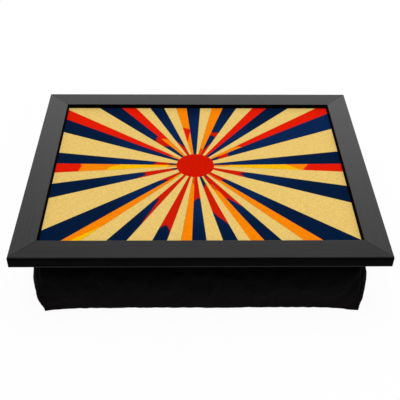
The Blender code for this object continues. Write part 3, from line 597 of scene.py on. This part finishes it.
def to_border(angle, low, high):
    """Where a line from the sun's centre at this angle leaves the sheet."""
    run, rise = cos(angle), sin(angle)
    x, y = SUN_CENTRE
    sides = ((run, x, low.x, high.x), (rise, y, low.y, high.y))
    reach = min(((top if part > 0 else bottom) - at) / part for part, at, bottom, top in sides if part)
    return x + reach * run, y + reach * rise


def printed_sheet(printed, paper):
    """The sheet, with its sun and rays as faces of its top and their colours as mesh attributes."""
    low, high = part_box("print_laminate")
    cx, cy = SUN_CENTRE
    edges = ray_edges()
    turns = [atan2(y - cy, x - cx) for _, (x, y) in edges]
    corners = [atan2(y - cy, x - cx) for x in (low.x, high.x) for y in (low.y, high.y)]
    corners += [corner + turn for corner in corners for turn in (-2 * pi, 2 * pi)]
    points, faces, rays = [(cx, cy, high.z)], [], []

    def add(x, y, z):
        points.append((x, y, z))
        return len(points) - 1

    def on_sun(angle):
        return add(cx + SUN_RADIUS * cos(angle), cy + SUN_RADIUS * sin(angle), high.z)

    rim = []
    for number, (ray, _) in enumerate(edges):
        start, end = turns[number - 1], turns[number]
        if end > start:
            end -= 2 * pi
        steps = max(1, round((start - end) / (2 * pi) * SUN_STEPS))
        stops = [start + (end - start) * i / steps for i in range(steps + 1)]
        stops = sorted(stops + [corner for corner in corners if end < corner < start], reverse=True)
        inner = [on_sun(angle) for angle in stops]
        outer = [add(*to_border(angle, low, high), high.z) for angle in stops]
        middle, spread = (start + end) / 2, tan((start - end) / 2)
        for i in range(len(stops) - 1):
            faces += [(inner[i], inner[i + 1], outer[i + 1], outer[i]), (0, inner[i + 1], inner[i])]
            rays += [(ray, middle, spread), ([DISC_RED], middle, spread)]
        rim += outer[:-1]
    below = [add(*points[i][:2], low.z) for i in rim]
    count = len(rim)
    faces += [(rim[i], rim[(i + 1) % count], below[(i + 1) % count], below[i]) for i in range(count)]
    faces.append(tuple(below))
    sheet = piece("printed_sheet", points, faces, printed, "tray", "printed_laminate", "print_laminate")
    sheet.data.materials.append(paper)
    paint_rays(sheet.data, rays)
    weld(sheet.data)
    sheet.data.shade_flat()


def paint_rays(mesh, rays):
    """Writes the top faces' rays to their corners, for the print's material. The other faces are paper.

    A turn's distances become its middle, slope and curve across the ray, which is from -1 to 1 wide.
    """
    count = len(mesh.loops)
    colours = np.ones((MOST_COLOURS, count, 4), np.float32)
    turns = np.zeros((MOST_COLOURS - 1, count, 3), np.float32)
    turns[..., 0] = -1.0
    axes = np.zeros((count, 3), np.float32)
    spreads = np.zeros(count, np.float32)
    lined = np.zeros(count, np.float32)
    for face, (ray, middle, spread) in zip(mesh.polygons, rays):
        corners = slice(face.loop_start, face.loop_start + face.loop_total)
        for number, colour in enumerate(ray[::2]):
            colours[number:, corners, :3] = linear(colour)
        for number, turn in enumerate(ray[1::2]):
            before, at, after = (distance / MM for distance in turn)
            turns[number, corners] = at, (after - before) / 2, (after + before) / 2 - at
        axes[corners] = (cos(middle), sin(middle), 0.0)
        spreads[corners] = spread
        lined[corners] = ray[0] == CREAM and MUSTARD not in ray

    def write(name, kind, field, values):
        mesh.attributes.new(name, kind, "CORNER").data.foreach_set(field, values.ravel())

    for number, values in enumerate(colours):
        write(f"ray_colour_{number}", "FLOAT_COLOR", "color", values)
    for number, values in enumerate(turns):
        write(f"ray_turn_{number}", "FLOAT_VECTOR", "vector", values)
    write("ray_axis", "FLOAT_VECTOR", "vector", axes)
    write("ray_spread", "FLOAT", "value", spreads)
    write("ray_lined", "FLOAT", "value", lined)
    for face in mesh.polygons[len(rays) :]:
        face.material_index = 1


def weld(mesh):
    """Joins points that lie on each other, and turns every face outward."""
    shape = bmesh.new()
    shape.from_mesh(mesh)
    bmesh.ops.remove_doubles(shape, verts=shape.verts, dist=WELDED)
    bmesh.ops.recalc_face_normals(shape, faces=shape.faces)
    shape.to_mesh(mesh)
    shape.free()


# The cushion


def quarter_round(share):
    return np.sqrt(1 - (1 - np.clip(share, 0, 1)) ** 2)


def past_corner(share):
    return 1 - abs(share) ** DRAWN_IN_POWER


def outline(along, across, half_length, half_depth, drawn_in, crown_width):
    """X and Y on the bottom or top, and the share of its full height that it has between the seams."""
    x = along * (half_length - drawn_in * past_corner(across))
    y = across * (half_depth - drawn_in * past_corner(along))
    ends = quarter_round((1 - abs(along)) * half_length / crown_width)
    return x, y, ends * quarter_round((1 - abs(across)) * half_depth / crown_width)


def foot(along, across):
    x, y, fall = outline(along, across, FOOT_HALF_LENGTH, FOOT_HALF_DEPTH, FOOT_DRAWN_IN, FOOT_CROWN_WIDTH)
    seam = FOOT_CORNER_HEIGHT + (FOOT_SEAM_HEIGHT - FOOT_CORNER_HEIGHT) * past_corner(along * across)
    return np.stack((x, y, np.maximum(0.0, seam - (seam + SETTLE) * fall)), -1)


def shoulder(along, across):
    size = (SHOULDER_HALF_LENGTH, SHOULDER_HALF_DEPTH, SHOULDER_DRAWN_IN, SHOULDER_CROWN_WIDTH)
    x, y, rise = outline(along, across, *size)
    return np.stack((x, y, SHOULDER_SEAM_HEIGHT + SHOULDER_CROWN_RISE * rise), -1)


def fullness(side, along):
    """How far a side stands out, from 0 at its corners to 1. The zip keeps the back straight."""
    if side != "back":
        return 1 - abs(along) ** BELLY_POWER
    straight = (ZIP_HALF_LENGTH + ZIP_TAPER) / FOOT_HALF_LENGTH
    past = np.clip((abs(along) - straight) / (1 - straight), 0, 1)
    return 0.5 + 0.5 * np.cos(pi * past)


def side_wall(side, along, heights):
    axis, sign = FACES[side]
    across = np.full_like(along, sign)
    place = (across, along) if axis == 0 else (along, across)
    low, high = foot(*place), shoulder(*place)
    share = (heights - FOOT_SEAM_HEIGHT) / (SHOULDER_SEAM_HEIGHT - FOOT_SEAM_HEIGHT)
    point = low + (high - low) * share[..., None]
    band = ZIP_BAND if side == "back" else 0.0
    below = (heights - FOOT_SEAM_HEIGHT) / (BELLY_HEIGHT - band - FOOT_SEAM_HEIGHT)
    above = (SHOULDER_SEAM_HEIGHT - heights) / (SHOULDER_SEAM_HEIGHT - BELLY_HEIGHT - band)
    reach = np.clip(np.where(heights < BELLY_HEIGHT, below, above), 0, 1)
    pull = fullness(side, along) * np.sin(pi / 2 * reach) ** BELLY_ROUNDNESS
    belly = sign * (BELLY_HALF_LENGTH, BELLY_HALF_DEPTH)[axis]
    point[..., axis] += pull * (belly - point[..., axis])
    point[..., 2] += pull * (heights - point[..., 2])
    return point


def slackened(points):
    """The points of the form, drawn in near the corner that the beads don't fill."""
    shares = (points - SLACK_CORNER) / SLACK_REACH
    return points + np.exp(-(shares**2).sum(-1, keepdims=True)) * SLACK_PULL


def form(face, columns, rows):
    """A face of the cushion's form. Columns and rows run from -1 to 1, but a side's rows are heights."""
    along, up = np.meshgrid(columns, rows)
    if face == "bottom":
        return slackened(foot(along, up))
    if face == "top":
        return shoulder(along, up)
    return slackened(side_wall(face, along, up))


def plane_of(face):
    """The axes that a face's columns and rows lie along."""
    return [axis for axis in range(3) if axis != FACES[face][0]]


def sim_lines(face):
    """The columns and rows of a face's coarse grid."""
    spans = ((-1, 1), (-1, 1), (FOOT_SEAM_HEIGHT, SHOULDER_SEAM_HEIGHT))
    return [np.linspace(*spans[axis], SIM_CELLS[axis] + 1) for axis in plane_of(face)]


def outward_quads(face, grid):
    """Quads between the points of a grid, numbered row by row, that look outward."""
    rows, columns = grid.shape[:2]
    corners = [r * columns + c for r in range(rows - 1) for c in range(columns - 1)]
    quads = [(i, i + 1, i + columns + 1, i + columns) for i in corners]
    axis, sign = FACES[face]
    turned = np.cross(np.gradient(grid, axis=1), np.gradient(grid, axis=0))[..., axis].mean()
    return quads if turned * sign > 0 else [quad[::-1] for quad in quads]


def closed_skin():
    """The coarse grids joined at the seams: points, quads and each face's point numbers."""
    points, index, quads, numbers = [], {}, [], {}
    for face in FACES:
        grid = form(face, *sim_lines(face))
        own = np.zeros(grid.shape[:2], int)
        for row, column in np.ndindex(own.shape):
            key = tuple(round(float(c) * JOINED_PLACES) for c in grid[row, column])
            if key not in index:
                index[key] = len(points)
                points.append(grid[row, column])
            own[row, column] = index[key]
        flat = own.ravel().tolist()
        quads += [tuple(flat[i] for i in quad) for quad in outward_quads(face, grid)]
        numbers[face] = own
    return np.array(points), quads, numbers


def unit(vectors):
    return vectors / np.linalg.norm(vectors, axis=-1, keepdims=True)


def eased(share):
    """A share from 0 to 1 that starts and ends softly."""
    return share * share * (3 - 2 * share)


def skin_normals(points, quads):
    """Outward normals of a closed skin, at seams the mean of the faces that meet there."""
    quads = np.array(quads)
    corners = points[quads]
    flat = np.cross(corners[:, 2] - corners[:, 0], corners[:, 3] - corners[:, 1])
    normals = np.zeros_like(points)
    for corner in range(4):
        np.add.at(normals, quads[:, corner], flat)
    return unit(normals)


def zip_mask(face, grid):
    """0 on the back's flat strip round the zip, 1 away from it."""
    if face != "back":
        return np.ones(grid.shape[:2])
    beside = np.clip((abs(grid[..., 2] - BELLY_HEIGHT) - ZIP_BAND) / ZIP_TAPER, 0, 1)
    past = np.clip((abs(grid[..., 0]) - ZIP_HALF_LENGTH - ZIP_TAPER) / ZIP_TAPER, 0, 1)
    return eased(np.maximum(beside, past))


def simulate_cover(points, quads, numbers):
    """Blows up the sewn cover between the table and the tray, and gives each point's movement."""
    cover = shaped("cover_simulation", points, quads)
    borders = [b for own in numbers.values() for b in (own[:, 0], own[:, -1], own[0], own[-1])]
    held = cover.vertex_groups.new(name="seams")
    held.add(np.unique(np.concatenate(borders)).tolist(), 1.0, "REPLACE")
    heights = {"table_stop": 0.0, "tray_stop": CUSHION_HEIGHT + SIM_CLEARANCE}
    stops = [square(name, STOP_HALF_SIZE, height) for name, height in heights.items()]
    for stop in stops:
        stop.modifiers.new("stop", "COLLISION")
        stop.collision.thickness_outer = SIM_CLEARANCE
        stop.collision.cloth_friction = SIM_FRICTION
    cloth = cover.modifiers.new("cloth", "CLOTH")
    for name, value in SIM_CLOTH.items():
        setattr(cloth.settings, name, value)
    cloth.settings.vertex_group_mass = "seams"
    cloth.settings.effector_weights.gravity = 0.0
    cloth.collision_settings.distance_min = SIM_CLEARANCE
    cloth.point_cache.frame_end = SIM_FRAMES
    scene = bpy.context.scene
    for step in range(1, SIM_FRAMES + 1):
        scene.frame_set(step)
    moved = cover.evaluated_get(bpy.context.evaluated_depsgraph_get()).data
    after = np.zeros(len(points) * 3, np.float32)
    moved.vertices.foreach_get("co", after)
    scene.frame_set(1)
    for leftover in (cover, *stops):
        bpy.data.objects.remove(leftover)
    return folds_alone(after.reshape(-1, 3) - points, numbers)


def broad_waves(lines, length):
    """A square matrix that keeps a row of values' sine waves longer than the longest fold."""
    turns = np.arange(1, max(2, round(2 * length / LONGEST_FOLD)) + 1)
    waves = np.sin(pi * np.outer(np.linspace(0, 1, lines), turns))
    return waves @ np.linalg.pinv(waves)


def folds_alone(shift, numbers):
    """A movement's folds, without its broad swelling, which the form has already."""
    folds = np.zeros_like(shift)
    for face, own in numbers.items():
        grid = form(face, *sim_lines(face))
        across, up = (broad_waves(own.shape[axis], lengths_along(grid, axis)[-1]) for axis in (1, 0))
        moved = shift[own]
        fine = moved - np.einsum("ij,jkd,kl->ild", up, moved, across.T)
        length = np.linalg.norm(fine, axis=2, keepdims=True)
        fine *= MOST_MOVE / np.maximum(length, MOST_MOVE)
        folds[own] = fine * zip_mask(face, grid)[..., None]
    return folds


def spline_weights(old, new):
    """Catmull-Rom weights that take values on evenly spaced lines to new places between them."""
    count = len(old)
    share = np.clip((new - old[0]) / (old[1] - old[0]), 0, count - 1 - 1e-9)
    cell = share.astype(int)
    t = share - cell
    weights = np.zeros((len(new), count))
    parts = (
        -0.5 * t + t**2 - 0.5 * t**3,
        1 - 2.5 * t**2 + 1.5 * t**3,
        0.5 * t + 2 * t**2 - 1.5 * t**3,
        -0.5 * t**2 + 0.5 * t**3,
    )
    for offset, part in zip((-1, 0, 1, 2), parts):
        np.add.at(weights, (np.arange(len(new)), np.clip(cell + offset, 0, count - 1)), part)
    return weights


def redrawn(face, values, columns, rows):
    """A face's values on its coarse grid, taken to other columns and rows."""
    old_columns, old_rows = sim_lines(face)
    taken = np.einsum("rk,kcd->rcd", spline_weights(old_rows, rows), values)
    return np.einsum("ck,rkd->rcd", spline_weights(old_columns, columns), taken)


def drawn_lines(low, high, length, edges=(EDGE_ROWS, EDGE_ROWS)):
    """Lines of a drawn panel over a length of cloth, closer together near its seams."""
    first, last = (np.array(edge) / length for edge in edges)
    begin, finish = first[-1], 1 - last[-1]
    inner = np.linspace(begin, finish, max(2, round((finish - begin) * length / DRAWN_CELL)))
    return low + (high - low) * np.concatenate((first[:-1], inner, 1 - last[-2::-1]))


def lengths_along(grid, axis):
    """Distance along the cloth from the first line of a grid, by its middle line."""
    middle = np.take(grid, grid.shape[1 - axis] // 2, axis=1 - axis)
    steps = np.linalg.norm(np.diff(middle, axis=0), axis=1)
    return np.concatenate(([0.0], np.cumsum(steps)))


def wander(places, length, seed):
    """A smooth random curve from -1 to 1 that turns over about a length."""
    spread = np.random.default_rng(seed).uniform(-1, 1, WANDER_VALUES)
    at = places / length + WANDER_VALUES / 2
    cell = np.floor(at).astype(int)
    t = eased(at - cell)
    return spread[cell % WANDER_VALUES] * (1 - t) + spread[(cell + 1) % WANDER_VALUES] * t


def seam_at(face, border):
    """The axis that a border runs along, and a number that its seam has from either face."""
    plane, order = plane_of(face), list(FACES.values())
    other = (plane[border // 2], 2 * (border % 2) - 1)
    return plane[1 - border // 2], 2 ** order.index(FACES[face]) + 2 ** order.index(other)


def sewn(face, grid, normals, zip_border=None):
    """A grid with its borders turned down into their seams and puckered beside them.

    The border at the zip, by its number among the four, is only folded under.
    """
    across, up = lengths_along(grid, 1)[None, :], lengths_along(grid, 0)[:, None]
    distances = (across, across.max() - across, up, up.max() - up)
    away = prod(quarter_round(distance / PUCKER_START) for distance in distances)
    sink = np.zeros(grid.shape[:2])
    for border, distance in enumerate(distances):
        if border == zip_border:
            sink += ZIP_FOLD * (1 - quarter_round(distance / ZIP_FOLD))
            continue
        axis, seed = seam_at(face, border)
        depth, length = FINE_PUCKER
        ripple = wander(grid[..., axis], PUCKER_LENGTH, seed)
        ripple += depth * wander(grid[..., axis], PUCKER_LENGTH * length, seed + FINE_PUCKER_SEED)
        sink += SEAM_ROLL * (1 - quarter_round(distance / SEAM_ROLL))
        sink += PUCKER_DEPTH * ripple * np.exp(-distance / PUCKER_REACH) * away
    return grid - normals * sink[..., None]


def with_allowance(grid, normals, zip_border):
    """A grid with one more line past each border, turned inward: the cloth past the sewing or the fold."""
    for border in range(4):
        axis, at = 1 - border // 2, -(border % 2)
        edge, direction = np.take(grid, [at], axis), np.take(normals, [at], axis)
        depth = SEAM_ALLOWANCE
        if border == zip_border:
            depth = FOLD_RETURN + (depth - FOLD_RETURN) * past_zip(edge[..., 0])[..., None]
        parts, turns = [edge - depth * direction, grid], [direction, normals]
        if at:
            parts, turns = parts[::-1], turns[::-1]
        grid, normals = np.concatenate(parts, axis), np.concatenate(turns, axis)
    return grid


def cover_panel(replaced, face, grid, normals, cloth, zip_border=None):
    """One cut panel of the cover, in place of its CAD node: sewn at its borders, with a thickness."""
    grid = sewn(face, grid, normals, zip_border)
    grid[..., 2] = np.clip(grid[..., 2], 0.0, CUSHION_HEIGHT)
    grid = with_allowance(grid, normals, zip_border)
    quads = outward_quads(face, grid)
    points, name = grid.reshape(-1, 3), replaced + "_panel"
    panel = piece(name, points, quads, cloth, "cushion", "cover_cloth", replaced)
    weave_map = panel.data.uv_layers.new(name="weave")
    corners = np.zeros(len(panel.data.loops), np.int32)
    panel.data.loops.foreach_get("vertex_index", corners)
    row, column = np.divmod(corners, grid.shape[1])
    flat = np.stack((lengths_along(grid, 1)[column], lengths_along(grid, 0)[row]), -1)
    weave_map.data.foreach_set("uv", flat.astype(np.float32).ravel())
    thick = panel.modifiers.new("cloth", "SOLIDIFY")
    thick.thickness, thick.offset = CLOTH_THICKNESS, -1.0


def past_zip(x):
    """0 along the zip, 1 past its ends."""
    return eased(np.clip((abs(x) - ZIP_HALF_LENGTH + FOLD_TAPER) / FOLD_TAPER, 0, 1))


def back_lines(x_lines):
    """The back's columns, with more of them where its folded edges close at the zip's ends."""
    closing = np.linspace(ZIP_HALF_LENGTH - FOLD_TAPER, ZIP_HALF_LENGTH, FOLD_TAPER_LINES)
    closing /= (FOOT_HALF_LENGTH + SHOULDER_HALF_LENGTH) / 2
    first, last = closing[0] - FOLD_TAPER_MARGIN, closing[-1] + FOLD_TAPER_MARGIN
    near = (abs(x_lines) > first) & (abs(x_lines) < last)
    return np.sort(np.concatenate((x_lines[~near], closing, -closing)))


def build_cover(points, quads, numbers, shift, cloth):
    """The seven panels, each on a finer grid that follows the simulated skin."""
    normals = skin_normals(points + shift, quads)

    def dressed(face, columns, rows):
        grid = form(face, columns, rows) + redrawn(face, shift[numbers[face]], columns, rows)
        return grid, unit(redrawn(face, normals[numbers[face]], columns, rows))

    low, high = FOOT_SEAM_HEIGHT, SHOULDER_SEAM_HEIGHT
    x_lines, y_lines = (drawn_lines(-1, 1, 2 * half) for half in (FOOT_HALF_LENGTH, FOOT_HALF_DEPTH))
    lines = (x_lines, y_lines, drawn_lines(low, high, high - low))
    for face in ("bottom", "top", "front", "left", "right"):
        grid, turned = dressed(face, *(lines[axis] for axis in plane_of(face)))
        cover_panel(f"cover_{face}", face, grid, turned, cloth)
    for half, ends, zip_border in (("lower", (low, BELLY_HEIGHT), 3), ("upper", (BELLY_HEIGHT, high), 2)):
        edges = (EDGE_ROWS, FOLD_ROWS) if half == "lower" else (FOLD_ROWS, EDGE_ROWS)
        rows = drawn_lines(*ends, ends[1] - ends[0], edges)
        grid, turned = dressed("back", back_lines(x_lines), rows)
        share = (rows - ends[0]) / (ends[1] - ends[0])
        away = (-share if half == "lower" else 1 - share)[:, None]
        grid[..., 2] += away * abs(away) * (1 - past_zip(grid[..., 0])) * ZIP_OPENING / 2
        cover_panel(f"cover_back_{half}", "back", grid, turned, cloth, zip_border)


def inner_skin(name, points, quads, shift, depths, material, slot, replaced):
    """A closed skin under the cover, further in behind the zip."""
    depth, zip_depth = depths
    skin = points + shift
    behind = abs(points[:, 2] - BELLY_HEIGHT) < ZIP_BAND
    behind &= points[:, 1] > BELLY_HALF_DEPTH - ZIP_SKIN
    inner = skin - np.where(behind, zip_depth, depth)[:, None] * skin_normals(skin, quads)
    inner[:, 2] = np.clip(inner[:, 2], depth, CUSHION_HEIGHT - depth)
    piece(name, inner, quads, material, "cushion", slot, replaced)


# The zip


def strand_faces(rings, sides, first=0):
    """Faces of a strand that is drawn as rings of points, with closed ends."""
    faces = []
    for ring in range(rings - 1):
        start = first + ring * sides
        for k in range(sides):
            here, beside = start + k, start + (k + 1) % sides
            faces.append((here, beside, beside + sides, here + sides))
    last = first + (rings - 1) * sides
    faces.append(tuple(range(first, first + sides))[::-1])
    faces.append(tuple(range(last, last + sides)))
    return faces


def coil(name, node, toward_middle, phase, material):
    """A coil's nylon, wound flat round its cord, its heads reaching past the middle of the zip.
    """
    low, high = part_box(node)
    outer = high.z if toward_middle < 0 else low.z
    head = BELLY_HEIGHT + toward_middle * COIL_HEADS_PAST_MIDDLE
    middle, half = (outer + head) / 2, (outer - head) / 2
    half -= copysign(COIL_STRAND, half)
    thick = (high.y - low.y) / 2 - COIL_STRAND
    turns = int((high.x - low.x - 2 * COIL_STRAND) / COIL_PITCH) - 1
    along = np.arange(turns * COIL_STEPS + 1) / COIL_STEPS
    angle = 2 * pi * along
    x = low.x + COIL_STRAND + (along + phase) * COIL_PITCH
    y = (low.y + high.y) / 2 + thick * np.sin(angle)
    path = np.stack((x, y, middle + half * np.cos(angle)), -1)
    ahead = unit(np.gradient(path, axis=0))
    side = unit(np.cross(ahead, (1.0, 0.0, 0.0)))
    other = np.cross(ahead, side)
    around = [2 * pi * k / COIL_SIDES for k in range(COIL_SIDES)]
    points = [path + COIL_STRAND * (cos(a) * side + sin(a) * other) for a in around]
    points, faces = np.stack(points, 1).reshape(-1, 3), strand_faces(len(path), COIL_SIDES)
    made = piece(name, points, faces, material, "cushion", "zip_coil", node)
    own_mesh(made)


def stitches(name, runs, outward, pitch, radius, material, slot):
    """Thread stitches end to end along straight runs of (start, end), on cloth that looks outward."""
    points, faces, outward = [], [], Vector(outward)
    turns = [2 * pi * k / STITCH_SIDES for k in range(STITCH_SIDES)]
    for start, end in runs:
        start, end = Vector(start), Vector(end)
        ahead = (end - start).normalized()
        aside = ahead.cross(outward)
        count = max(1, round((end - start).length / pitch))
        step = (end - start).length / count
        for number in range(count):
            faces += strand_faces(len(STITCH_SECTION), STITCH_SIDES, len(points))
            for share, swell in STITCH_SECTION:
                middle = start + ahead * step * (number + STITCH_GAP + (1 - 2 * STITCH_GAP) * share)
                middle += outward * radius * (sin(pi * share) - STITCH_SUNK)
                for a in turns:
                    around = cos(a) * aside + sin(a) * outward
                    points.append(middle + radius * swell * around)
    piece(name, points, faces, material, "cushion", slot)


def build_zip(nylon, thread):
    coil("zip_teeth_upper", "zip_coil_upper", -1, 0.0, nylon)
    coil("zip_teeth_lower", "zip_coil_lower", 1, 0.5, nylon)
    for name in ("zip_slider", "zip_pull"):
        edges = NODES[name].modifiers.new("soften", "BEVEL")
        edges.width, edges.segments, edges.limit_method = METAL_EDGE_RADIUS, 2, "ANGLE"
    inset, *sewing = ZIP_STITCHING
    y, end = BELLY_HALF_DEPTH, ZIP_HALF_LENGTH + ZIP_STITCHING_PAST_END
    low, high = (BELLY_HEIGHT + side * (ZIP_OPENING / 2 + inset) for side in (-1, 1))
    runs = [((-end, y, z), (end, y, z)) for z in (low, high)]
    runs += [((x, y, low), (x, y, high)) for x in (-end, end)]
    stitches("zip_stitching", runs, (0, 1, 0), *sewing, thread, "cover_cloth")


def sew_strips(thread):
    inset, *sewing = STRIP_STITCHING
    runs = []
    for node in named("loop_strip"):
        low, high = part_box(node)
        x0, x1, y0, y1 = low.x + inset, high.x - inset, low.y + inset, high.y - inset
        corners = [(x, y, high.z) for x, y in ((x0, y0), (x1, y0), (x1, y1), (x0, y1))]
        runs += zip(corners, corners[1:] + corners[:1])
    stitches("strip_stitching", runs, (0, 0, 1), *sewing, thread, "loop_tape")


# Stage


def build_stage():
    look = Look("floor", Base_Color=(0.9, 0.9, 0.9, 1.0), Specular_IOR_Level=0.0, Roughness=1.0)
    white = look.node("Emission", {"Color": (1, 1, 1, 1), "Strength": 1.0})[0]
    share = look.times(look.seen(), FLOOR_WHITE)
    both = look.node("MixShader", {0: share, 1: look.shader.outputs[0], 2: white})[0]
    look.put(look.tree.nodes["Material Output"], {"Surface": both})
    floor = square("floor", FLOOR_HALF_SIZE, -FLOOR_DROP)
    floor.data.materials.append(look.owner)


def build_light():
    """A room that looks white, straight and in reflections, but lights less, and three soft lamps."""
    world = Look("studio", "worlds", "Background", Color=(1, 1, 1, 1))
    level = world.node("MapRange", {"Value": world.seen(), "To Min": AMBIENT, "To Max": 1.0})[0]
    bpy.context.scene.world = world.finish(Strength=level)
    for name, place, size, energy, mirrored in LAMPS:
        lamp = bpy.data.lights.new(name, "AREA")
        lamp.shape, lamp.energy = "RECTANGLE", energy
        lamp.size, lamp.size_y = size
        made = placed(name, lamp)
        made.location = place
        aim = Vector(LAMPS_AIM) - Vector(place)
        made.rotation_euler = aim.to_track_quat("-Z", "Y").to_euler()
        made.visible_glossy = mirrored


def build_camera():
    """The photograph's view."""
    cosine, sine = cos(CAMERA_AZIMUTH), sin(CAMERA_AZIMUTH)
    flat, rise = cos(CAMERA_ELEVATION), sin(CAMERA_ELEVATION)
    back = Vector((sine * flat, -cosine * flat, rise))
    level = Vector((cosine, sine, 0.0))
    upright = back.cross(level)
    right = cos(CAMERA_ROLL) * level + sin(CAMERA_ROLL) * upright
    up = back.cross(right)
    data = bpy.data.cameras.new("camera")
    data.sensor_width = SENSOR_WIDTH
    data.lens = SENSOR_WIDTH * FOCAL_PIXELS / PICTURE_PIXELS
    camera = placed("camera", data)
    turn = Matrix((right, up, back)).transposed().to_4x4()
    camera.matrix_world = Matrix.Translation(Vector(CAMERA_TARGET) + CAMERA_DISTANCE * back) @ turn
    bpy.context.scene.camera = camera


def build():
    bpy.context.scene.view_settings.view_transform = "Standard"
    build_camera()
    build_stage()
    build_light()
    dress(rail_look("x"), "frame_rail_front", "frame_rail_back")
    dress(rail_look("y"), "frame_rail_left", "frame_rail_right")
    dress(board_look("hardboard", (84, 52, 32), (128, 86, 54), 420.0, 0.6), "panel_board")
    dress(board_look("backing_card", (112, 92, 70), (158, 136, 108), 260.0, 0.78), "backing_board")
    steel = metal_look("steel", (150, 150, 152), (196, 196, 198), 0.3)
    dress(steel, *named("v_nail"), *named("framer_point"))
    paper = plain_look("sheet_core", 0.3, (700.0, 4.0, 0.7), (214, 210, 200), PAPER, (0.1, 0.8))
    printed_sheet(print_look(), paper)
    points, quads, numbers = closed_skin()
    shift = simulate_cover(points, quads, numbers)
    # The last colour is the cover's painted light from the table, which also brings its painted shade under
    # the tray
    cloth = cloth_look("black_cloth", (4, 3, 3), (9, 8, 8), 0.0009, 0.009, (20, 17, 17))
    build_cover(points, quads, numbers, shift, cloth)
    thread = cloth_look("black_thread", (14, 14, 14), (30, 30, 30), 0.0009, 0.02)
    lining = cloth_look("white_lining", (196, 195, 188), (226, 225, 220), 0.0007, 0.05)
    skin = (points, quads, shift)
    inner_skin("inner_bag", *skin, BAG_DEPTHS, lining, "liner_cloth", "liner_bag")
    inner_skin("bead_filling", *skin, FILLING_DEPTHS, bead_look(), "beads", "bead_fill")
    dress(tape_look("zip_tape", (10, 10, 10), (26, 26, 26), 0.0007), *named("zip_tape"))
    metal = metal_look("gunmetal", (86, 86, 88), (128, 127, 124), 0.26)
    dress(metal, "zip_slider", "zip_pull", *named("zip_top_stop"), "zip_bottom_stop")
    nylon = plain_look("black_nylon", 0.4, (2600.0, 2.0), (12, 12, 13), (20, 20, 21), (0.15, 0.35))
    build_zip(nylon, thread)
    dress(tape_look("hook_tape", (8, 8, 8), (34, 34, 34), 0.0014), *named("hook_strip"))
    dress(tape_look("loop_tape", (12, 12, 12), (38, 38, 38), 0.0008), *named("loop_strip"))
    sew_strips(thread)


build()
